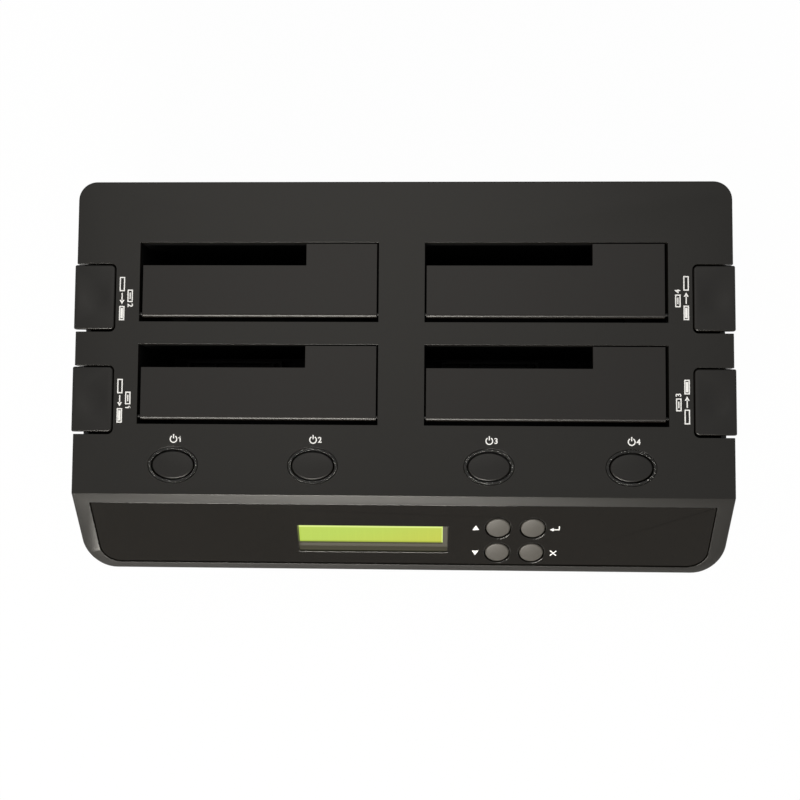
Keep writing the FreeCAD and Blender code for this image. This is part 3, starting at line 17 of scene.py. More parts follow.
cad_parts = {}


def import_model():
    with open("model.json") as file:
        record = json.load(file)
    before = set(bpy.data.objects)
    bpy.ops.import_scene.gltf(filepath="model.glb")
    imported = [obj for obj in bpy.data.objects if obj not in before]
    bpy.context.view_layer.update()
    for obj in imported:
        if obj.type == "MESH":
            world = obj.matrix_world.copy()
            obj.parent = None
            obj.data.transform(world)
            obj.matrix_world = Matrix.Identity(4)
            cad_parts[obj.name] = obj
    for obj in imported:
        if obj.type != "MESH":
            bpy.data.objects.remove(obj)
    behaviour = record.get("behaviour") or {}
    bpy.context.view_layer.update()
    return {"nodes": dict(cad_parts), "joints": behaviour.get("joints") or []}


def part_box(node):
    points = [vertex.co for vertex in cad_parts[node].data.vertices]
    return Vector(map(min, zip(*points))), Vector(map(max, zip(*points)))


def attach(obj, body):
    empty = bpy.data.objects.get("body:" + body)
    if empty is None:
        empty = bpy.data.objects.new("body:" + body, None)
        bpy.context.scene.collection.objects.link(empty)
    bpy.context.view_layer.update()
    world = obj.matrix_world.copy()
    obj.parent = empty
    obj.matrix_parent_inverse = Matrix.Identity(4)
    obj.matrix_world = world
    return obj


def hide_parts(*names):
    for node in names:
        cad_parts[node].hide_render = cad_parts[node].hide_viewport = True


LOG = logging.getLogger("drive_duplicator")
MM = 0.001
Test = Callable[[Vector, Vector], bool]
Colour = tuple[float, float, float]


def srgb(red: int, green: int, blue: int) -> Colour:
    """Turns a colour of 0 to 255 a channel into the linear values that shaders take."""
    def linear(value: float) -> float:
        """One channel."""
        return value / 12.92 if value <= 0.04045 else ((value + 0.055) / 1.055) ** 2.4
    return linear(red / 255), linear(green / 255), linear(blue / 255)


class Bay(Enum):
    """The four drive bays: column side, and the numeral printed beside its power button."""

    LEFT_FRONT = ("left_front", -1, "1")
    LEFT_REAR = ("left_rear", -1, "2")
    RIGHT_FRONT = ("right_front", 1, "3")
    RIGHT_REAR = ("right_rear", 1, "4")

    @property
    def key(self) -> str:
        """The name that the bay's nodes and bodies end with."""
        return self.value[0]

    @property
    def side(self) -> int:
        """-1 on the left, 1 on the right."""
        return self.value[1]

    @property
    def numeral(self) -> str:
        """The bay's number."""
        return self.value[2]


class Facing(Enum):
    """Which way the heads of a set of screws face."""

    BACK = (0.0, 1.0, 0.0)
    DOWN = (0.0, 0.0, -1.0)


# Shaders


class Value:
    """A number in a shader: an output socket, or a plain number, with arithmetic written as usual."""

    def __init__(self, shader: "Shader", source: object) -> None:
        """Keeps the shader that grows and the socket or number that this stands for."""
        self.shader = shader
        self.source = source

    def joined(self, operation: str, *sources: object) -> "Value":
        """Adds a Math node.

        Args:
            operation: the Math node's operation.
            sources: its inputs in order, as values or numbers.

        Returns:
            The node's result.
        """
        return self.shader.node("ShaderNodeMath", {"operation": operation}, dict(enumerate(sources)))

    def __add__(self, other: object) -> "Value":
        """self + other."""
        return self.joined("ADD", self, other)

    def __radd__(self, other: object) -> "Value":
        """other + self."""
        return self.joined("ADD", other, self)

    def __sub__(self, other: object) -> "Value":
        """self - other."""
        return self.joined("SUBTRACT", self, other)

    def __rsub__(self, other: object) -> "Value":
        """other - self."""
        return self.joined("SUBTRACT", other, self)

    def __mul__(self, other: object) -> "Value":
        """self * other."""
        return self.joined("MULTIPLY", self, other)

    def __truediv__(self, other: object) -> "Value":
        """self / other."""
        return self.joined("DIVIDE", self, other)

    def __mod__(self, other: object) -> "Value":
        """self % other, never negative."""
        return self.joined("FLOORED_MODULO", self, other)

    def above(self, edge: object) -> "Value":
        """1 where this is more than an edge, else 0."""
        return self.joined("GREATER_THAN", self, edge)

    def clamped(self) -> "Value":
        """This kept between 0 and 1."""
        return self.shader.node("ShaderNodeClamp", {}, {"Value": self})


class Shader:
    """A material's node tree, grown from expressions."""

    def __init__(self, name: str) -> None:
        """Starts an empty material with a Principled surface."""
        self.material = bpy.data.materials.new(name)
        self.material.use_nodes = True
        self.tree = self.material.node_tree
        self.tree.nodes.clear()
        self.surface = self.tree.nodes.new("ShaderNodeBsdfPrincipled")
        output = self.tree.nodes.new("ShaderNodeOutputMaterial")
        self.tree.links.new(self.surface.outputs[0], output.inputs["Surface"])
        self.output = output

    def node(self, kind: str, settings: dict, inputs: dict, result: object = 0) -> Value:
        """Adds a node.

        Args:
            kind: the node's type.
            settings: its own settings, and "stops" as (place, colour) pairs for a ramp.
            inputs: values, numbers or colours by socket name or index.
            result: the name or index of the output to hand back.

        Returns:
            The chosen output.
        """
        made = self.tree.nodes.new(kind)
        for name, setting in settings.items():
            if name == "stops":
                ramp = made.color_ramp
                while len(ramp.elements) < len(setting):
                    ramp.elements.new(1.0)
                for element, (place, colour) in zip(ramp.elements, setting):
                    element.position = place
                    element.color = (*colour, 1.0)
            else:
                setattr(made, name, setting)
        for name, source in inputs.items():
            self.feed(made.inputs[name], source)
        return Value(self, made.outputs[result])

    def feed(self, socket: bpy.types.NodeSocket, source: object) -> None:
        """Links a value to a socket, or sets the socket's own number or colour."""
        if isinstance(source, Value):
            source = source.source
        if isinstance(source, bpy.types.NodeSocket):
            self.tree.links.new(source, socket)
        elif isinstance(source, tuple) and len(source) == 3 and socket.type == "RGBA":
            socket.default_value = (*source, 1.0)
        else:
            socket.default_value = source

    def set(self, **inputs: object) -> None:
        """Feeds the surface's sockets, named with underscores for spaces."""
        for name, source in inputs.items():
            self.feed(self.surface.inputs[name.replace("_", " ")], source)

    def place(self) -> Value:
        """Where a point lies in the object's own frame."""
        return self.node("ShaderNodeTexCoord", {}, {}, "Object")

    def part(self, vector: Value, axis: str) -> Value:
        """One coordinate of a vector."""
        return self.node("ShaderNodeSeparateXYZ", {}, {0: vector}, axis)

    def noise(self, size: float, detail: float = 2.0, stretch: Colour = (1.0, 1.0, 1.0)) -> Value:
        """Noise whose features are about a given size in metres, 0 to 1.

        Args:
            size: the size of a feature.
            detail: how many finer octaves ride on it.
            stretch: how much denser the noise is along each axis.

        Returns:
            The noise.
        """
        where = self.node("ShaderNodeMapping", {}, {"Vector": self.place(), "Scale": stretch})
        return self.node("ShaderNodeTexNoise", {}, {"Vector": where, "Scale": 1 / size, "Detail": detail}, 0)

    def blend(self, share: object, first: object, second: object) -> Value:
        """A colour between two colours."""
        mix = self.tree.nodes.new("ShaderNodeMix")
        mix.data_type = "RGBA"
        for name, source in (("Factor_Float", share), ("A_Color", first), ("B_Color", second)):
            socket = next(s for s in mix.inputs if s.identifier == name)
            self.feed(socket, source)
        return Value(self, next(s for s in mix.outputs if s.identifier == "Result_Color"))

    def bumps(self, height: Value, deep: float, strength: float = 1.0) -> None:
        """Raises the surface by a height of 0 to 1 times a depth in metres."""
        bump = self.node("ShaderNodeBump", {}, {"Strength": strength, "Distance": deep, "Height": height})
        self.set(Normal=bump)


@dataclass(frozen=True)
class Finish:
    """A plain finish: moulded plastic with a fine grain, slight mottling and rubbed patches."""

    name: str
    colour: Colour
    roughness: float = 0.5
    grain: float = 0.0004
    depth: float = 0.00003
    mottle: float = 0.12
    specular: float = 0.4
    metallic: float = 0.0
    # An emission colour. Where it is set, as on the bezel, it is painted light.
    glow: Colour = (0.0, 0.0, 0.0)

    def tint(self, factor: float) -> Colour:
        """The finish's colour, lighter or darker."""
        return tuple(min(1.0, channel * factor) for channel in self.colour)

    def dress(self, shader: Shader) -> None:
        """Feeds the surface of a shader."""
        cloud = shader.noise(0.03, 3.0)
        grain = shader.noise(self.grain, 2.0)
        share = (cloud * 0.6 + grain * 0.4).clamped()
        shader.set(
            Base_Color=shader.blend(share, self.tint(1 - self.mottle), self.tint(1 + self.mottle)),
            Roughness=(self.roughness - 0.05 + grain * 0.06 + cloud * 0.04).clamped(),
            Metallic=self.metallic,
            Specular_IOR_Level=self.specular,
            Emission_Color=self.glow,
            Emission_Strength=1.0,
        )
        shader.bumps(grain, self.depth)

    def material(self) -> bpy.types.Material:
        """The finish's one material, made when it is first asked for."""
        known = bpy.data.materials.get("finish_" + self.name)
        if known:
            return known
        shader = Shader("finish_" + self.name)
        self.dress(shader)
        return shader.material


@dataclass(frozen=True)
class BrushedSteel(Finish):
    """Plated sheet steel with fine lines along one way."""

    metallic: float = 1.0
    roughness: float = 0.32

    def dress(self, shader: Shader) -> None:
        """Feeds the surface of a shader."""
        lines = shader.noise(0.0002, 2.0, (0.06, 1.0, 1.0))
        cloud = shader.noise(0.012, 2.0)
        shader.set(
            Base_Color=shader.blend(cloud, self.tint(0.85), self.tint(1.1)),
            Roughness=(self.roughness + lines * 0.15).clamped(),
            Metallic=self.metallic,
        )
        shader.bumps(lines, 0.00001)


@dataclass(frozen=True)
class SmokyPlastic(Finish):
    """Clear moulded plastic with a smoky tint."""

    def dress(self, shader: Shader) -> None:
        """Feeds the surface of a shader."""
        flow = shader.noise(0.0008, 1.0)
        shader.set(
            Base_Color=shader.blend(flow, self.tint(0.9), self.tint(1.15)),
            Roughness=(self.roughness + flow * 0.05).clamped(),
            Transmission_Weight=0.15,
            Specular_IOR_Level=self.specular,
            IOR=1.49,
        )
        shader.bumps(flow, 0.0009)


@dataclass(frozen=True)
class CircuitBoard(Finish):
    """Solder mask over copper tracks, with plated holes between them."""

    copper: Colour = (0.05, 0.22, 0.09)

    def dress(self, shader: Shader) -> None:
        """Feeds the surface of a shader."""
        place = shader.place()
        across, along = shader.part(place, "X"), shader.part(place, "Y")
        lane = (across * 420 + along * 90) % 1.0
        cells = shader.node(
            "ShaderNodeTexVoronoi", {"feature": "F1"}, {"Vector": place, "Scale": 260.0}, "Distance"
        )
        track = lane.above(0.62)
        hole = 1 - cells.above(0.16)
        masked = shader.blend(track, self.colour, self.copper)
        shader.set(
            Base_Color=shader.blend(hole, masked, (0.45, 0.42, 0.36)),
            Roughness=(0.38 + cells * 0.1).clamped(),
            Metallic=hole,
            Specular_IOR_Level=0.5,
        )
        shader.bumps(track, 0.00003)


@dataclass(frozen=True)
class PrintedInk(Finish):
    """White print, a little uneven in its cover."""

    def dress(self, shader: Shader) -> None:
        """Feeds the surface of a shader."""
        cover = shader.noise(0.0003, 1.0)
        shader.set(
            Base_Color=shader.blend(cover, self.tint(0.95), self.tint(1.0)),
            Roughness=(0.5 + cover * 0.1).clamped(),
            Specular_IOR_Level=self.specular,
        )


@dataclass(frozen=True)
class LitDisplay(Finish):
    """A backlit character display: two rows of faint cells, brighter along its top and right edges."""

    low: tuple[float, float, float] = (0.0, 0.0, 0.0)
    high: tuple[float, float, float] = (1.0, 1.0, 1.0)
    edge: Colour = srgb(218, 238, 134)
    olive: Colour = srgb(198, 204, 74)
    right: float = 0.943
    lid: float = 0.55
    foot: float = 0.225
    columns: int = 16

    def dress(self, shader: Shader) -> None:
        """Feeds the surface of a shader."""
        place = shader.place()
        width = self.high[0] - self.low[0]
        across = (shader.part(place, "X") - self.low[0]) / width
        up = (shader.part(place, "Y") - self.low[1]) / (self.high[1] - self.low[1])
        column = (across * (self.columns + 1.2) - 0.6) % 1.0
        row = (up * 2.6 - 0.3) % 1.0
        cell = column.above(0.16) * row.above(0.2)
        dots = ((across * 92) % 1.0).above(0.25) * ((up * 26) % 1.0).above(0.25)
        rim = (across.above(self.right) + up.above(self.lid)).clamped()
        glow = shader.noise(0.02, 1.0)
        warm = (across * 1.1 - up * 1.2 + glow * 0.3).clamped()
        shade = (1 - up.above(self.foot)) * 0.35 + cell * dots * 0.05 + glow * 0.05
        plain = shader.blend(shade.clamped(), shader.blend(warm, self.tint(1.0), self.olive), self.tint(0.4))
        lit = shader.blend(rim, plain, self.edge)
        shader.set(
            Base_Color=(0.02, 0.02, 0.01),
            Emission_Color=lit,
            Emission_Strength=1.0,
            Roughness=(0.12 + glow * 0.05).clamped(),
        )


CASE = Finish("case_plastic", srgb(22, 20, 16), roughness=0.34, depth=0.00003, specular=0.5)
DOOR = Finish("door_plastic", srgb(23, 20, 17), roughness=0.36, depth=0.00002, specular=0.5)
CAP = Finish("cap_plastic", srgb(22, 20, 17), roughness=0.34, depth=0.00002, specular=0.5)
GLOSS = Finish(
    "gloss_panel", srgb(20, 17, 12), roughness=0.1, grain=0.002, depth=0.000002, mottle=0.05, specular=0.5
)
RING = SmokyPlastic("clear_ring", srgb(30, 29, 26), roughness=0.08, specular=0.6)
KEY = Finish("key_plastic", srgb(70, 67, 62), roughness=0.4, depth=0.00001, mottle=0.05, specular=0.4)
# The bezel's glow is painted light: an even emission that stands in for the display's backlight falling on it
# and fills the shade on its lower bar. Its base is kept dark so the lamps add little to it.
BEZEL = Finish(
    "bezel_metal", srgb(34, 32, 27), roughness=0.55, grain=0.0006, specular=0.3, glow=srgb(72, 69, 58)
)
NYLON = Finish("black_nylon", srgb(20, 20, 20), roughness=0.45, depth=0.00001, specular=0.4)
# The guides, sockets and levers are darker than their own plastic: painted shade for the deep shade inside the
# bays.
GUIDE = Finish("guide_plastic", srgb(14, 14, 14), roughness=0.6, specular=0.2)
SOCKET = Finish("socket_nylon", srgb(38, 38, 36), roughness=0.6, depth=0.00001, specular=0.2)
LEVER = Finish("lever_plastic", srgb(50, 50, 48), roughness=0.5, specular=0.3)
RUBBER = Finish("foot_rubber", srgb(26, 26, 26), roughness=0.85, grain=0.0008, depth=0.00006, specular=0.25)
STEEL = BrushedSteel("plain_steel", srgb(188, 187, 184))
# A darker copy of the plain steel: painted shade for the pins and springs that sit in shade inside the case.
SHADED_STEEL = BrushedSteel("dark_steel", srgb(46, 45, 44), roughness=0.45)
PORT = BrushedSteel("port_steel", srgb(196, 196, 194), roughness=0.25)
GOLD = BrushedSteel("gold_plate", srgb(150, 118, 56), roughness=0.35)
BOARD = CircuitBoard("circuit_board", srgb(22, 84, 44))
INK = PrintedInk("white_print", srgb(253, 253, 252))


# The bench: one object at a time


def clear_bench() -> None:
    """Leaves every object unselected, in object mode."""
    if bpy.context.object and bpy.context.object.mode != "OBJECT":
        bpy.ops.object.mode_set(mode="OBJECT")
    bpy.ops.object.select_all(action="DESELECT")


class Work:
    """A piece on the bench, shaped with Blender's own operators."""

    def __init__(self, made: bpy.types.Object, name: str) -> None:
        """Takes an object and names it and its mesh."""
        self.object = made
        made.name = name
        made.data.name = name

    @classmethod
    def block(cls, name: str, low: Vector, high: Vector) -> "Work":
        """A block between two corners."""
        clear_bench()
        low, high = Vector(low), Vector(high)
        bpy.ops.mesh.primitive_cube_add(size=1, location=(low + high) / 2, scale=high - low)
        return cls(bpy.context.object, name).settle()

    @classmethod
    def moulded(cls, node: bpy.types.Object, name: str) -> "Work":
        """A copy of a frame node with its triangles merged back into whole faces."""
        clear_bench()
        copy = node.copy()
        copy.data = node.data.copy()
        for key in list(copy.keys()):
            del copy[key]
        copy.parent = None
        copy.matrix_world = Matrix.Identity(4)
        copy.data.materials.clear()
        bpy.context.scene.collection.objects.link(copy)
        work = cls(copy, name)
        with work.editing():
            bpy.ops.mesh.remove_doubles(threshold=2e-6)
            bpy.ops.mesh.dissolve_limited(angle_limit=math.radians(0.6))
        return work

    @classmethod
    def text(cls, name: str, words: str, height: float, thick: float) -> "Work":
        """Generic lettering as a thin mesh that lies flat, centred on the origin."""
        clear_bench()
        bpy.ops.object.text_add()
        made = bpy.context.object
        made.data.body = words
        made.data.size = height * 1.4
        made.data.extrude = thick / 2
        made.data.align_x = "CENTER"
        made.data.align_y = "CENTER"
        made.data.offset = height * 0.03
        bpy.ops.object.convert(target="MESH")
        return cls(bpy.context.object, name)

    def alone(self) -> None:
        """Makes this the one selected and active object."""
        clear_bench()
        self.object.select_set(True)
        bpy.context.view_layer.objects.active = self.object

    def editing(self) -> "Bench":
        """Edit mode with everything selected, for use in a with statement."""
        return Bench(self)

    def settle(self) -> "Work":
        """Puts the place, turn and scale of the object into its mesh."""
        self.alone()
        bpy.ops.object.transform_apply(location=True, rotation=True, scale=True)
        return self

    def move(self, matrix: Matrix) -> "Work":
        """Places the piece by a matrix."""
        self.object.matrix_world = matrix @ self.object.matrix_world
        return self.settle()

    def pick_faces(self, test: Test) -> "Work":
        """Selects the faces that a test on their middle and normal picks, in edit mode."""
        bpy.ops.mesh.select_all(action="DESELECT")
        bpy.ops.object.mode_set(mode="OBJECT")
        for face in self.object.data.polygons:
            face.select = test(face.center, face.normal)
        bpy.ops.object.mode_set(mode="EDIT")
        return self

    def pick_edges(self, test: Test) -> "Work":
        """Selects the edges that a test on their two ends picks, in edit mode."""
        bpy.ops.mesh.select_all(action="DESELECT")
        bpy.ops.mesh.select_mode(type="EDGE")
        bpy.ops.object.mode_set(mode="OBJECT")
        points = self.object.data.vertices
        for edge in self.object.data.edges:
            first, second = (points[index].co for index in edge.vertices)
            edge.select = test(first, second)
        bpy.ops.object.mode_set(mode="EDIT")
        return self

    def modify(self, kind: str, **settings: object) -> "Work":
        """Adds a modifier and applies it."""
        self.alone()
        modifier = self.object.modifiers.new(kind.lower(), kind)
        for name, setting in settings.items():
            setattr(modifier, name, setting)
        bpy.ops.object.modifier_apply(modifier=modifier.name)
        return self

    def soften(
        self, width: float, steps: int = 2, limit: float = 32.0, arcs: bool = True, spare: Test | None = None
    ) -> "Work":
        """Rounds every edge sharper than a limit, and shades the piece smoothly.

        Args:
            width: how wide the rounding of an edge is.
            steps: how many faces the rounding has.
            limit: the angle in degrees below which an edge is left alone.
            arcs: whether corners where edges meet are rounded in plan too.
            spare: a test on an edge's two ends that picks the edges to leave sharp.

        Returns:
            The piece.
        """
        self.smooth(limit)
        if spare:
            self.weigh(limit, spare)
        return self.modify(
            "BEVEL", width=width, segments=steps, limit_method="WEIGHT" if spare else "ANGLE",
            angle_limit=math.radians(limit), harden_normals=True, use_clamp_overlap=False,
            miter_outer="MITER_ARC" if arcs else "MITER_SHARP", offset_type="WIDTH",
        )

    def weigh(self, limit: float, spare: Test) -> None:
        """Marks the edges to be rounded: those sharper than a limit in degrees that a test doesn't spare."""
        with self.editing():
            bpy.ops.mesh.select_mode(type="EDGE")
            bpy.ops.mesh.select_all(action="DESELECT")
            bpy.ops.mesh.edges_select_sharp(sharpness=math.radians(limit))
        mesh = self.object.data
        points = mesh.vertices
        weights = mesh.attributes.new("bevel_weight_edge", "FLOAT", "EDGE").data
        for edge, weight in zip(mesh.edges, weights):
            first, second = (points[index].co for index in edge.vertices)
            weight.value = float(edge.select and not spare(first, second))

    def outward(self) -> "Work":
        """Turns every face outwards."""
        with self.editing():
            bpy.ops.mesh.remove_doubles(threshold=1e-7)
            bpy.ops.mesh.normals_make_consistent(inside=False)
        return self

    def smooth(self, limit: float = 35.0) -> "Work":
        """Shades the piece smoothly across edges gentler than a limit in degrees."""
        self.alone()
        bpy.ops.object.shade_smooth_by_angle(angle=math.radians(limit))
        return self

    def copy(self, name: str, shift: Vector) -> "Work":
        """Another piece like this one, with its own mesh, some way off."""
        clear_bench()
        made = self.object.copy()
        made.data = self.object.data.copy()
        bpy.context.scene.collection.objects.link(made)
        return Work(made, name).move(Matrix.Translation(shift))

    def join(self, *others: "Work") -> "Work":
        """Makes one piece of this and others."""
        self.alone()
        for other in others:
            other.object.select_set(True)
        bpy.ops.object.join()
        return self

    def carve(self, tool: "Work") -> "Work":
        """Cuts a tool out of the piece, and throws the tool away."""
        self.modify("BOOLEAN", operation="DIFFERENCE", solver="EXACT", object=tool.object)
        bpy.data.objects.remove(tool.object)
        return self

    def fit(self, body: str, slot: str, finish: Finish, *nodes: str) -> bpy.types.Object:
        """Dresses the piece, fixes it to a body and lets it stand for frame nodes.

        Args:
            body: the body that carries the piece.
            slot: the record's material slot; not used.
            finish: what the piece is made of.
            nodes: the frame nodes that it stands for.

        Returns:
            The finished object.
        """
        self.object.data.materials.clear()
        self.object.data.materials.append(finish.material())
        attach(self.object, body)
        if nodes:
            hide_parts(*nodes)
        LOG.info("%s on %s, %d faces", self.object.name, body, len(self.object.data.polygons))
        return self.object


class Bench:
    """Edit mode for the length of a with statement."""

    def __init__(self, work: Work) -> None:
        """Keeps the piece to edit."""
        self.work = work

    def __enter__(self) -> Work:
        """Opens edit mode with everything selected."""
        self.work.alone()
        bpy.ops.object.mode_set(mode="EDIT")
        bpy.ops.mesh.select_mode(type="FACE")
        bpy.ops.mesh.select_all(action="SELECT")
        return self.work

    def __exit__(self, *details: object) -> None:
        """Closes edit mode."""
        bpy.ops.object.mode_set(mode="OBJECT")


@dataclass
class Frame:
    """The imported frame: its nodes, joints and the sizes that several sub-assemblies read from it."""

    nodes: dict
    joints: dict

    @property
    def deck(self) -> float:
        """The level of the deck."""
        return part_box("door_left_front")[1].z

    def hinge(self, joint: str) -> Vector:
        """The point that a joint turns about."""
        return Vector(self.joints[joint]["pos_m"])

    def slope_angle(self) -> float:
        """The tilt of the sloped front, from the way that its keys are pressed."""
        axis = self.joints["menu_press_up"]["axis"]
        return math.atan2(axis[1], -axis[2])

    def paint(self, node: str, finish: Finish) -> None:
        """Gives a carried-over node its finish."""
        made = self.nodes[node]
        if not made.material_slots:
            made.data.materials.append(finish.material())
        for slot in made.material_slots:
            slot.material = finish.material()
        LOG.info("%s kept from the frame, finished as %s", node, finish.name)


# Sub-assemblies


@dataclass
class Case:
    """The two moulded halves of the case and the feet below them."""

    frame: Frame
    edge: float = 0.28 * MM
    foot_edge: float = 0.65 * MM
    grille: float = 21.0 * MM

    def in_grille(self, first: Vector, second: Vector) -> bool:
        """Whether an edge belongs to a fan's grille, whose narrow slots stay sharp."""
        for side in ("left", "right"):
            hub = self.frame.hinge(f"fan_spin_{side}")
            reaches = [math.hypot(end.x - hub.x, end.z - hub.z) for end in (first, second)]
            if max(reaches) < self.grille and min(first.y, second.y) > hub.y:
                return True
        return False

    def build(self) -> None:
        """Models and dresses the case."""
        for half in ("top_housing", "bottom_housing"):
            shell = Work.moulded(self.frame.nodes[half], half + "_shell")
            shell.soften(self.edge, arcs=False, spare=self.in_grille)
            shell.fit("housing", "case_plastic", CASE, half)
        feet = Work.moulded(self.frame.nodes["rubber_feet"], "rubber_feet_soft").soften(self.foot_edge, 3)
        feet.fit("housing", "foot_rubber", RUBBER, "rubber_feet")


@dataclass
class Marks:
    """White print: thin marks drawn flat, then laid where they belong."""

    thick: float = 0.03 * MM
    line: float = 0.48 * MM

    def bar(self, name: str, x: float, y: float, width: float, height: float) -> Work:
        """A solid rectangle round a middle point."""
        half = Vector((width / 2, height / 2, self.thick / 2))
        middle = Vector((x, y, 0))
        return Work.block(name, middle - half, middle + half)

    def outline(self, name: str, x: float, y: float, width: float, height: float) -> Work:
        """A rectangle drawn as a line."""
        clear_bench()
        bpy.ops.mesh.primitive_plane_add(size=1, location=(x, y, 0))
        bpy.context.object.scale = (width, height, 1)
        work = Work(bpy.context.object, name).settle()
        with work.editing():
            bpy.ops.mesh.inset(thickness=self.line)
            bpy.ops.mesh.delete(type="FACE")
        return work.modify("SOLIDIFY", thickness=self.thick, offset=0).outward()

    def arrow(self, name: str, x: float, y: float, size: float, turn: float) -> Work:
        """A solid triangle that points along +Y before it is turned by an angle in degrees."""
        clear_bench()
        bpy.ops.mesh.primitive_cylinder_add(vertices=3, radius=size, depth=self.thick)
        work = Work(bpy.context.object, name).settle()
        place = Matrix.Translation((x, y, 0)) @ Matrix.Rotation(math.radians(turn), 4, "Z")
        return work.move(place)

    def stroke(self, name: str, start: tuple, end: tuple) -> Work:
        """A straight line of even width."""
        run = Vector((end[0] - start[0], end[1] - start[1], 0))
        work = self.bar(name, 0, 0, run.length + self.line, self.line)
        middle = Vector((start[0] + end[0], start[1] + end[1], 0)) / 2
        return work.move(Matrix.Translation(middle) @ Matrix.Rotation(math.atan2(run.y, run.x), 4, "Z"))

    def power(self, name: str, x: float, y: float, size: float) -> Work:
        """The power sign: an open ring with an upright stroke in its gap."""
        clear_bench()
        bpy.ops.mesh.primitive_circle_add(vertices=48, radius=size, fill_type="NGON")
        ring = Work(bpy.context.object, name)
        gap = size * 0.42
        with ring.editing():
            bpy.ops.mesh.inset(thickness=self.line)
            bpy.ops.mesh.delete(type="FACE")
            ring.pick_faces(lambda middle, normal: abs(middle.x) < gap and middle.y > 0)
            bpy.ops.mesh.delete(type="FACE")
        ring.modify("SOLIDIFY", thickness=self.thick, offset=0).outward()
        ring.join(self.bar(name + "_stroke", 0, size * 0.72, self.line, size * 1.1))
        return ring.move(Matrix.Translation((x, y, 0)))

    def numeral(self, name: str, digit: str, x: float, y: float, height: float) -> Work:
        """A digit; the 1 has a flag at its top."""
        work = Work.text(name, digit, height, self.thick).move(Matrix.Translation((x, y, 0)))
        if digit == "1":
            foot, tip = (x - height * 0.2, y + height * 0.26), (x, y + height * 0.4)
            work.join(self.stroke(name + "_flag", foot, tip))
        return work


@dataclass
class DriveBay:
    """One bay: its flap door, eject button, guide, socket and the print beside it."""

    frame: Frame
    bay: Bay
    marks: Marks
    door_edge: float = 0.27 * MM
    cap_edge: float = 0.45 * MM
    contact: Vector = field(default_factory=lambda: Vector((0.45, 0.16, 4.2)) * MM)
    contact_drop: float = 1.6 * MM
    contact_pitch: float = 1.27 * MM
    contact_rows: tuple = ((-19.3 * MM, 7), (-4.3 * MM, 15))
    label_x: float = 118.8 * MM
    label_gap: float = 3.5 * MM
    label_drop: float = 0.35 * MM
    sign_tall: float = 2.3 * MM
    numeral_x: float = 2.9 * MM
    drive_x: float = -1.2 * MM
    disk_x: float = 6.3 * MM

    def build(self) -> None:
        """Models and dresses the bay."""
        key = self.bay.key
        nodes = self.frame.nodes
        door = Work.moulded(nodes[f"door_{key}"], f"flap_{key}").soften(self.door_edge, 3)
        door.fit(f"door_{key}", "case_plastic", DOOR, f"door_{key}")
        cap = Work.moulded(nodes[f"eject_button_{key}"], f"eject_cap_{key}").soften(self.cap_edge, 3)
        cap.fit(f"eject_button_{key}", "case_plastic", CAP, f"eject_button_{key}")
        # Guide, lever and socket take darkened finishes that paint the shade inside the bay.
        self.frame.paint(f"drive_guide_{key}", GUIDE)
        self.frame.paint(f"eject_lever_{key}", LEVER)
        self.frame.paint(f"drive_socket_{key}", SOCKET)
        self.contacts()
        self.label()

    def contacts(self) -> None:
        """Gold contacts along the socket's two tongues: 7 for data and 15 for power."""
        low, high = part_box(f"drive_socket_{self.bay.key}")
        middle = (low + high) / 2
        front = middle.y - 0.6 * MM - self.contact.y * 0.6
        top = high.z - self.contact_drop
        first = Work.block(
            f"contacts_{self.bay.key}",
            (0, front, top - self.contact.z),
            (self.contact.x, front + self.contact.y, top),
        )
        first.modify("BEVEL", width=0.05 * MM, segments=2)
        row = [
            start + index * self.contact_pitch
            for start, count in self.contact_rows for index in range(count)
        ]
        copies = [first.copy("contact", Vector((middle.x + x, 0, 0))) for x in row]
        first.move(Matrix.Translation((middle.x + row[0], 0, 0)))
        bpy.data.objects.remove(copies.pop(0).object)
        first.join(*copies).smooth()
        first.fit("housing", "port_steel", GOLD)

    def label(self) -> None:
        """A numeral and a drive sign in one line, and an arrow towards or from a drive in the other."""
        low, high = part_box(f"eject_button_{self.bay.key}")
        middle = (low.y + high.y) / 2 - self.label_drop * (1 - self.bay.side)
        place = Vector((self.bay.side * self.label_x, middle, self.frame.deck + self.marks.thick / 2))
        turn = math.radians(90 if self.bay.side > 0 else -90)
        name = f"label_{self.bay.key}"
        near, far = self.label_gap / 2, -self.label_gap / 2
        work = self.marks.numeral(name, self.bay.numeral, self.numeral_x, near, self.sign_tall)
        filled = -self.disk_x if self.bay is Bay.RIGHT_REAR else self.disk_x
        parts = [
            self.marks.outline(name + "_drive", self.drive_x, near, 5.4 * MM, self.sign_tall),
            self.marks.bar(name + "_plug", self.drive_x, near, 2.8 * MM, self.marks.line),
            self.marks.outline(name + "_disk", self.disk_x, far, 6.2 * MM, self.sign_tall),
            self.marks.outline(name + "_origin", -self.disk_x, far, 6.2 * MM, self.sign_tall),
            self.marks.stroke(name + "_run", (-2.2 * MM, far), (0.8 * MM, far)),
            self.marks.arrow(name + "_arrow", 1.2 * MM, far, 1.2 * MM, -90),
            self.marks.bar(name + "_full", filled, far, 4.4 * MM, 1.0 * MM),
        ]
        work.join(*parts)
        work.move(Matrix.Translation(place) @ Matrix.Rotation(turn, 4, "Z"))
        work.fit("housing", "case_plastic", INK)


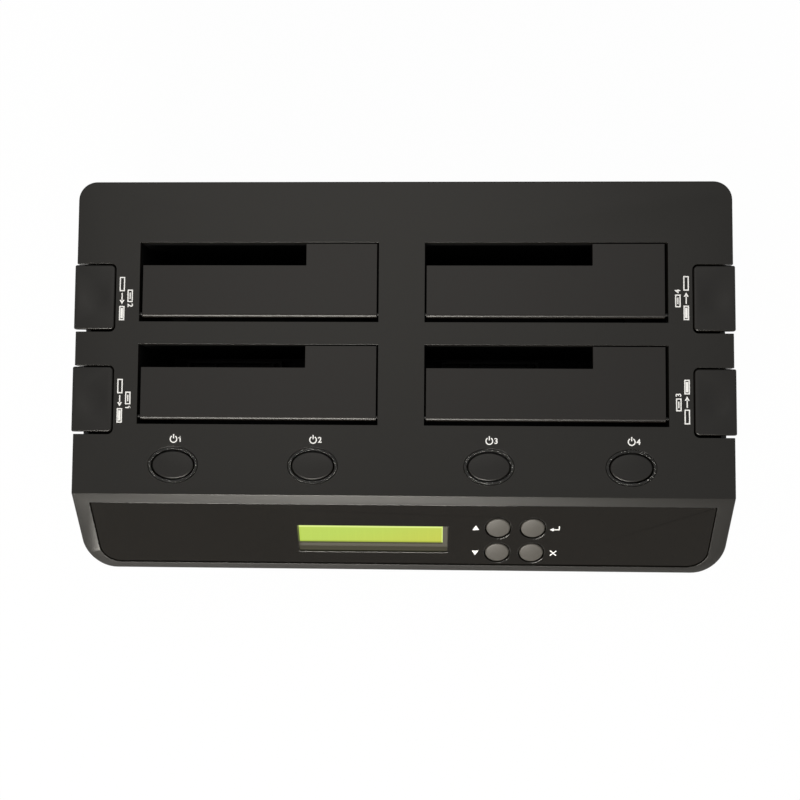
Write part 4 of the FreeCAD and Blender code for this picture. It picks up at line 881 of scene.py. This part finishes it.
@dataclass
class PowerRow:
    """The four oval power buttons in their smoky rings, with a sign and a numeral above each."""

    frame: Frame
    marks: Marks
    rounding: float = 0.7 * MM
    ring_edge: float = 0.4 * MM
    sign_above: float = 10.95 * MM
    sign_size: float = 1.65 * MM
    sign_shift: float = 0.15 * MM
    digit_out: float = 3.0 * MM
    digit_tall: float = 2.4 * MM
    buttons: tuple = (1, 2, 3, 4)

    def build(self) -> None:
        """Models and dresses the row."""
        for index in self.buttons:
            self.button(index)
            self.print(index)
        self.frame.paint("power_switch_board", BOARD)

    def button(self, index: int) -> None:
        """One cap with a rounded rim, and its ring."""
        node = f"power_button_{index}"
        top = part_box(node)[1].z
        cap = Work.moulded(self.frame.nodes[node], f"power_cap_{index}")
        with cap.editing():
            cap.pick_edges(lambda first, second: min(first.z, second.z) > top - 0.02 * MM)
            bpy.ops.mesh.bevel(offset=self.rounding, segments=5, profile=0.5)
        cap.smooth(30)
        cap.fit(node, "case_plastic", CAP, node)
        ring = Work.moulded(self.frame.nodes[f"power_ring_{index}"], f"light_ring_{index}")
        ring.soften(self.ring_edge, 3)
        ring.fit("housing", "clear_ring", RING, f"power_ring_{index}")

    def print(self, index: int) -> None:
        """The power sign and the button's number."""
        low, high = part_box(f"power_button_{index}")
        x, y = (low.x + high.x) / 2, (low.y + high.y) / 2 + self.sign_above
        sign = self.marks.power(f"power_sign_{index}", x + self.sign_shift, y, self.sign_size)
        digit = self.marks.numeral(
            f"digit_{index}", str(index), x + self.digit_out, y - 0.1 * MM, self.digit_tall
        )
        sign.join(digit)
        sign.move(Matrix.Translation((0, 0, self.frame.deck + self.marks.thick / 2)))
        sign.fit("housing", "case_plastic", INK)


@dataclass
class ControlPanel:
    """The glossy panel on the slope: display, menu keys and their signs."""

    frame: Frame
    marks: Marks
    panel_top: float = 5.05 * MM
    panel_inset: float = 0.5 * MM
    panel_plate: float = 1.4 * MM
    key_rounding: float = 0.6 * MM
    key_crown: float = 1.55 * MM
    key_taper: float = 0.95
    panel_edge: float = 0.6 * MM
    sign_out: float = 9.6 * MM
    lip: float = 0.15 * MM
    lip_front: float = 0.9 * MM
    bezel_edge: float = 0.12 * MM
    glass_edge: float = 0.15 * MM
    keys: tuple = ("up", "enter", "down", "escape")

    def __post_init__(self) -> None:
        """Works out how the slope lies from the panel's box."""
        self.angle = self.frame.slope_angle()
        sine, cosine = math.sin(self.angle), math.cos(self.angle)
        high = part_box("front_panel")[1]
        back = self.panel_inset + self.panel_plate
        self.edge = Vector((
            0,
            high.y + self.panel_top * cosine - back * sine,
            high.z + self.panel_top * sine + self.panel_inset * cosine,
        ))

    def lay(self, raised: float = 0.0) -> Matrix:
        """Where the slope's own frame lies: X along the case, Y up the slope, Z out of it."""
        tilted = Matrix.Translation(self.edge) @ Matrix.Rotation(self.angle, 4, "X")
        return tilted @ Matrix.Translation((0, 0, raised))

    def on_slope(self, point: Vector) -> Vector:
        """A point of the row frame in the slope's own frame."""
        return self.lay().inverted() @ Vector(point)

    def build(self) -> None:
        """Models and dresses the panel."""
        panel = Work.moulded(self.frame.nodes["front_panel"], "gloss_fascia").soften(self.panel_edge, 4)
        panel.fit("housing", "gloss_panel", GLOSS, "front_panel")
        for key in self.keys:
            self.key(key)
        self.display()
        self.signs()
        self.frame.paint("menu_key_board", BOARD)
        self.frame.paint("display_board", BOARD)

    def key_middle(self, key: str) -> Vector:
        """The middle of a key's face in the slope's own frame."""
        points = [self.on_slope(v.co) for v in self.frame.nodes[f"menu_key_{key}"].data.vertices]
        top = max(point.z for point in points)
        rim = [point for point in points if point.z > top - 0.01 * MM]
        low_x, high_x = min(p.x for p in rim), max(p.x for p in rim)
        low_y, high_y = min(p.y for p in rim), max(p.y for p in rim)
        return Vector(((low_x + high_x) / 2, (low_y + high_y) / 2, top))

    def key(self, key: str) -> None:
        """A round key whose crown stands almost level with the panel, with a rounded rim."""
        node = f"menu_key_{key}"
        middle = self.key_middle(key)
        top = middle.z
        cap = Work.moulded(self.frame.nodes[node], f"{node}_cap")
        cap.move(self.lay().inverted())
        with cap.editing():
            cap.pick_edges(lambda first, second: min(first.z, second.z) > top - 0.02 * MM)
            bpy.ops.transform.translate(value=(0, 0, self.key_crown))
            bpy.ops.transform.resize(value=(self.key_taper, self.key_taper, 1), center_override=middle)
            bpy.ops.mesh.bevel(offset=self.key_rounding, segments=5, profile=0.5)
        cap.move(self.lay())
        cap.smooth(30)
        cap.fit(node, "key_plastic", KEY, node)

    def display(self) -> None:
        """The bezel with the lip below its window, both in the bezel's painted glow, and the lit glass behind
        it.
        """
        low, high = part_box("display_glass")
        bezel = Work.moulded(self.frame.nodes["display_bezel"], "display_frame")
        front = max(self.on_slope(v.co).z for v in bezel.object.data.vertices)
        points = [self.on_slope(v.co) for v in self.frame.nodes["front_panel"].data.vertices]
        window = [point for point in points if low.x < point.x < high.x]
        foot = min(point.y for point in window)
        corner = Vector((min(point.x for point in window), foot - 0.1 * MM, front - 0.2 * MM))
        reach = Vector((max(point.x for point in window), foot + self.lip, -self.panel_inset - self.lip_front))
        # The lip carries the bezel's painted glow over the shaded wall below the window.
        bezel.join(Work.block("display_lip", corner, reach).move(self.lay()))
        bezel.soften(self.bezel_edge).fit("housing", "bezel_metal", BEZEL, "display_bezel")
        lit = LitDisplay("lit_display", srgb(186, 212, 86), low=tuple(low), high=tuple(high))
        glass = Work.moulded(self.frame.nodes["display_glass"], "display_cell").soften(self.glass_edge)
        glass.fit("housing", "display_glass", lit, "display_glass")

    def signs(self) -> None:
        """Signs beside the keys: up, down, enter and leave."""
        out = self.sign_out
        places = {key: self.key_middle(key) for key in self.keys}
        up, enter, down, leave = (places[key] for key in self.keys)
        size, half = 1.7 * MM, 1.7 * MM
        work = self.marks.arrow("menu_signs", up.x - out, up.y - 0.2 * MM, size, 0)
        x, y = enter.x + out, enter.y
        parts = [
            self.marks.arrow("sign_down", down.x - out, down.y + 0.2 * MM, size, 180),
            self.marks.stroke("sign_enter_a", (x + half, y + 1.2 * MM), (x + half, y - 0.5 * MM)),
            self.marks.stroke("sign_enter_b", (x + half, y - 0.5 * MM), (x - half * 0.5, y - 0.5 * MM)),
            self.marks.arrow("sign_enter_c", x - half * 0.7, y - 0.5 * MM, 1.1 * MM, 90),
        ]
        x, y, reach = leave.x + out, leave.y, 1.2 * MM
        parts.append(self.marks.stroke("sign_leave_a", (x - reach, y - reach), (x + reach, y + reach)))
        parts.append(self.marks.stroke("sign_leave_b", (x - reach, y + reach), (x + reach, y - reach)))
        work.join(*parts)
        work.move(self.lay(self.marks.thick / 2 - self.panel_inset))
        work.fit("housing", "gloss_panel", INK)


@dataclass
class Rear:
    """Sockets, switch and fans at the back, with the main board that carries the sockets."""

    frame: Frame
    port_edge: float = 0.12 * MM
    rocker_edge: float = 0.2 * MM
    fan_edge: float = 0.15 * MM

    def build(self) -> None:
        """Models and dresses the back."""
        for node, finish in (("usb_port", PORT), ("esata_port", PORT), ("dc_jack", NYLON)):
            work = Work.moulded(self.frame.nodes[node], node + "_shell").soften(self.port_edge)
            work.fit("housing", "port_steel" if finish is PORT else "black_nylon", finish, node)
        for node, body in (("rocker_frame", "housing"), ("power_rocker", "power_rocker")):
            work = Work.moulded(self.frame.nodes[node], node + "_soft").soften(self.rocker_edge)
            work.fit(body, "black_nylon", NYLON, node)
        for side in ("left", "right"):
            for node, body in ((f"fan_frame_{side}", "housing"), (f"fan_rotor_{side}", f"fan_rotor_{side}")):
                work = Work.moulded(self.frame.nodes[node], node + "_soft").soften(self.fan_edge)
                work.fit(body, "black_nylon", NYLON, node)
        self.frame.paint("main_board", BOARD)


@dataclass
class Fasteners:
    """Screws with cross recesses, pins, and the coil springs of the doors and the ejectors."""

    frame: Frame
    recess: float = 2.6 * MM
    slot: float = 0.7 * MM
    recess_deep: float = 0.9 * MM
    eject_wire: float = 0.4 * MM
    eject_coil: float = 2.7 * MM
    door_wire: float = 0.19 * MM
    door_coil: float = 1.1 * MM
    door_length: float = 7.6 * MM
    door_inset: float = 0.4 * MM

    def build(self) -> None:
        """Models and dresses the small steel parts."""
        self.frame.paint("board_screws", STEEL)
        # The lever pins take the darker steel and the hinge pins the black nylon, both painted shade for steel
        # pins that sit in shade.
        self.frame.paint("eject_lever_pins", SHADED_STEEL)
        self.frame.paint("door_hinge_pins", NYLON)
        self.recessed("fan_screws", Facing.BACK)
        self.recessed("case_screws", Facing.DOWN)
        self.eject_springs()
        self.door_springs()

    def recessed(self, node: str, facing: Facing) -> None:
        """Cuts a cross into the outer face of each screw of a node."""
        work = Work.moulded(self.frame.nodes[node], node + "_cross")
        out = Vector(facing.value)
        reach = max(v.co.dot(out) for v in work.object.data.vertices)
        heads = [
            face.center.copy() for face in work.object.data.polygons
            if face.normal.dot(out) > 0.99 and face.center.dot(out) > reach - 0.01 * MM
        ]
        tools = []
        for index, head in enumerate(heads):
            for wide, narrow in ((self.recess, self.slot), (self.slot, self.recess)):
                if facing is Facing.BACK:
                    span = Vector((wide / 2, self.recess_deep, narrow / 2))
                else:
                    span = Vector((wide / 2, narrow / 2, self.recess_deep))
                tools.append(Work.block(f"cross_{index}", head - span, head + span))
        base = tools[0].join(*tools[2::2])
        crossing = tools[1].join(*tools[3::2])
        work.carve(base)
        work.carve(crossing)
        work.smooth(30)
        work.fit("housing", "plain_steel", STEEL, node)

    def coil(self, name: str, middle: float, wire: float, length: float, turns: int) -> Work:
        """A round wire wound up along Z from the origin.

        Args:
            name: the piece's name.
            middle: the radius to the middle of the wire.
            wire: the wire's radius.
            length: from the middle of the first turn's end to the last's.
            turns: how many times it goes round.

        Returns:
            The coil.
        """
        clear_bench()
        bpy.ops.mesh.primitive_circle_add(
            vertices=8, radius=wire, fill_type="NOTHING",
            location=(middle, 0, 0), rotation=(math.pi / 2, 0, 0),
        )
        work = Work(bpy.context.object, name).settle()
        work.modify(
            "SCREW", angle=math.tau * turns, screw_offset=length, iterations=1, steps=20 * turns,
            render_steps=20 * turns, axis="Z", use_merge_vertices=False, use_smooth_shade=True,
        )
        with work.editing():
            bpy.ops.mesh.select_mode(type="EDGE")
            bpy.ops.mesh.select_all(action="DESELECT")
            bpy.ops.mesh.select_non_manifold()
            bpy.ops.mesh.edge_face_add()
        return work.outward()

    def eject_springs(self) -> None:
        """Compression springs under the levers' outer arms."""
        low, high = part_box("eject_springs")
        length = high.z - low.z - 2 * self.eject_wire
        coils = []
        for bay in Bay:
            cap_low, cap_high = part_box(f"eject_button_{bay.key}")
            coil = self.coil(f"eject_coil_{bay.key}", self.eject_coil, self.eject_wire, length, 4)
            x = bay.side * (high.x - self.eject_coil - self.eject_wire)
            y = (cap_low.y + cap_high.y) / 2
            coils.append(coil.move(Matrix.Translation((x, y, low.z + self.eject_wire))))
        # The darker steel on the ejector springs is painted shade.
        coils[0].join(*coils[1:]).smooth(60).fit("housing", "plain_steel", SHADED_STEEL, "eject_springs")

    def door_springs(self) -> None:
        """Torsion springs round the hinge pins."""
        low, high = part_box("door_springs")
        turn = Matrix.Rotation(math.pi / 2, 4, "Y")
        coils = []
        for bay in Bay:
            hinge = self.frame.hinge(f"door_hinge_{bay.key}")
            coil = self.coil(f"door_coil_{bay.key}", self.door_coil, self.door_wire, self.door_length, 12)
            start = low.x + self.door_inset
            if bay.side > 0:
                start = high.x - self.door_inset - self.door_length
            coils.append(coil.move(Matrix.Translation((start, hinge.y, hinge.z)) @ turn))
        # The darker steel on the door springs is painted shade.
        coils[0].join(*coils[1:]).smooth(60).fit("housing", "plain_steel", SHADED_STEEL, "door_springs")


@dataclass
class Studio:
    """Floor, lamps, world and camera."""

    camera_at: Vector = field(default_factory=lambda: Vector((0.013754, -0.036374, 0.511963)))
    lens: float = 46.094
    horizon: float = 0.28
    zenith: float = 0.47
    warmth: Colour = (1.0, 0.96, 0.88)

    def build(self) -> None:
        """Sets up everything that is not part of the object."""
        self.floor()
        self.lamps()
        self.world()
        self.camera()

    def floor(self) -> None:
        """A wide white floor that keeps the shadow."""
        clear_bench()
        bpy.ops.mesh.primitive_plane_add(size=12)
        work = Work(bpy.context.object, "floor")
        shader = Shader("studio_floor")
        cloud = shader.noise(0.6, 1.0)
        shader.set(Base_Color=shader.blend(cloud, (0.9, 0.9, 0.9), (0.92, 0.92, 0.92)), Roughness=0.9)
        path = shader.node("ShaderNodeLightPath", {}, {}, "Is Camera Ray")
        glow = shader.node("ShaderNodeEmission", {}, {"Color": (1.0, 1.0, 1.0), "Strength": 1.0})
        shine = shader.node("ShaderNodeLightPath", {}, {}, "Is Glossy Ray")
        share = (path * 0.98 + shine * 0.3).clamped()
        mixed = shader.node("ShaderNodeMixShader", {}, {0: share, 1: shader.surface.outputs[0], 2: glow})
        shader.feed(shader.output.inputs["Surface"], mixed)
        work.object.data.materials.append(shader.material)

    def lamps(self) -> None:
        """A broad lamp overhead, and a low wide one in front that the slope's frame catches."""
        self.lamp("overhead", (-0.12, 0.5, 1.3), (0, 0, 0), (0.9, 0.9), 1.5)
        self.lamp("front", (-0.2, -1.25, 0.8), (-0.02, -0.06, 0.06), (0.65, 0.16), 22.0)

    def lamp(self, name: str, where: tuple, towards: tuple, size: tuple, power: float) -> None:
        """One area lamp, slightly warm.

        Args:
            name: the lamp's name.
            where: its place.
            towards: the point that it faces.
            size: its width and its height.
            power: its power in watts.
        """
        clear_bench()
        aim = (Vector(towards) - Vector(where)).to_track_quat("-Z", "Y").to_euler()
        bpy.ops.object.light_add(type="AREA", location=where, rotation=aim)
        lamp = bpy.context.object
        lamp.name = name
        lamp.data.shape = "RECTANGLE"
        lamp.data.size, lamp.data.size_y = size
        lamp.data.energy = power
        lamp.data.color = self.warmth

    def world(self) -> None:
        """A sky that is bright overhead and dim at the horizon, and white where the camera sees it."""
        world = bpy.data.worlds.new("studio")
        bpy.context.scene.world = world
        world.use_nodes = True
        tree = world.node_tree
        tree.nodes.clear()
        place = tree.nodes.new("ShaderNodeTexCoord")
        parts = tree.nodes.new("ShaderNodeSeparateXYZ")
        tree.links.new(place.outputs["Generated"], parts.inputs[0])
        strength = tree.nodes.new("ShaderNodeMapRange")
        strength.inputs["To Min"].default_value = self.horizon
        strength.inputs["To Max"].default_value = self.zenith
        tree.links.new(parts.outputs["Z"], strength.inputs["Value"])
        path = tree.nodes.new("ShaderNodeLightPath")
        seen = tree.nodes.new("ShaderNodeMath")
        seen.operation = "MAXIMUM"
        tree.links.new(path.outputs["Is Camera Ray"], seen.inputs[0])
        tree.links.new(strength.outputs[0], seen.inputs[1])
        sky = tree.nodes.new("ShaderNodeBackground")
        sky.inputs["Color"].default_value = (1, 1, 1, 1)
        tree.links.new(seen.outputs[0], sky.inputs["Strength"])
        output = tree.nodes.new("ShaderNodeOutputWorld")
        tree.links.new(sky.outputs[0], output.inputs["Surface"])
        bpy.context.scene.view_settings.view_transform = "Standard"

    def camera(self) -> None:
        """The camera above the deck, a little to the right of the middle."""
        clear_bench()
        turn = Matrix((
            (0.999458, -0.005286, 0.032481),
            (0.007245, 0.998143, -0.060484),
            (-0.032101, 0.060687, 0.997641),
        ))
        bpy.ops.object.camera_add(location=self.camera_at, rotation=turn.to_euler())
        camera = bpy.context.object
        camera.data.lens = self.lens
        camera.data.sensor_width = 36.0
        bpy.context.scene.camera = camera


def main() -> None:
    """Loads the frame and builds each sub-assembly in turn."""
    logging.basicConfig(level=logging.INFO, format="%(message)s")
    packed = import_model()
    frame = Frame(packed["nodes"], {joint["name"]: joint for joint in packed["joints"]})
    marks = Marks()
    Case(frame).build()
    for bay in Bay:
        DriveBay(frame, bay, marks).build()
    PowerRow(frame, marks).build()
    ControlPanel(frame, marks).build()
    Rear(frame).build()
    Fasteners(frame).build()
    Studio().build()


if __name__ == "__main__":
    main()
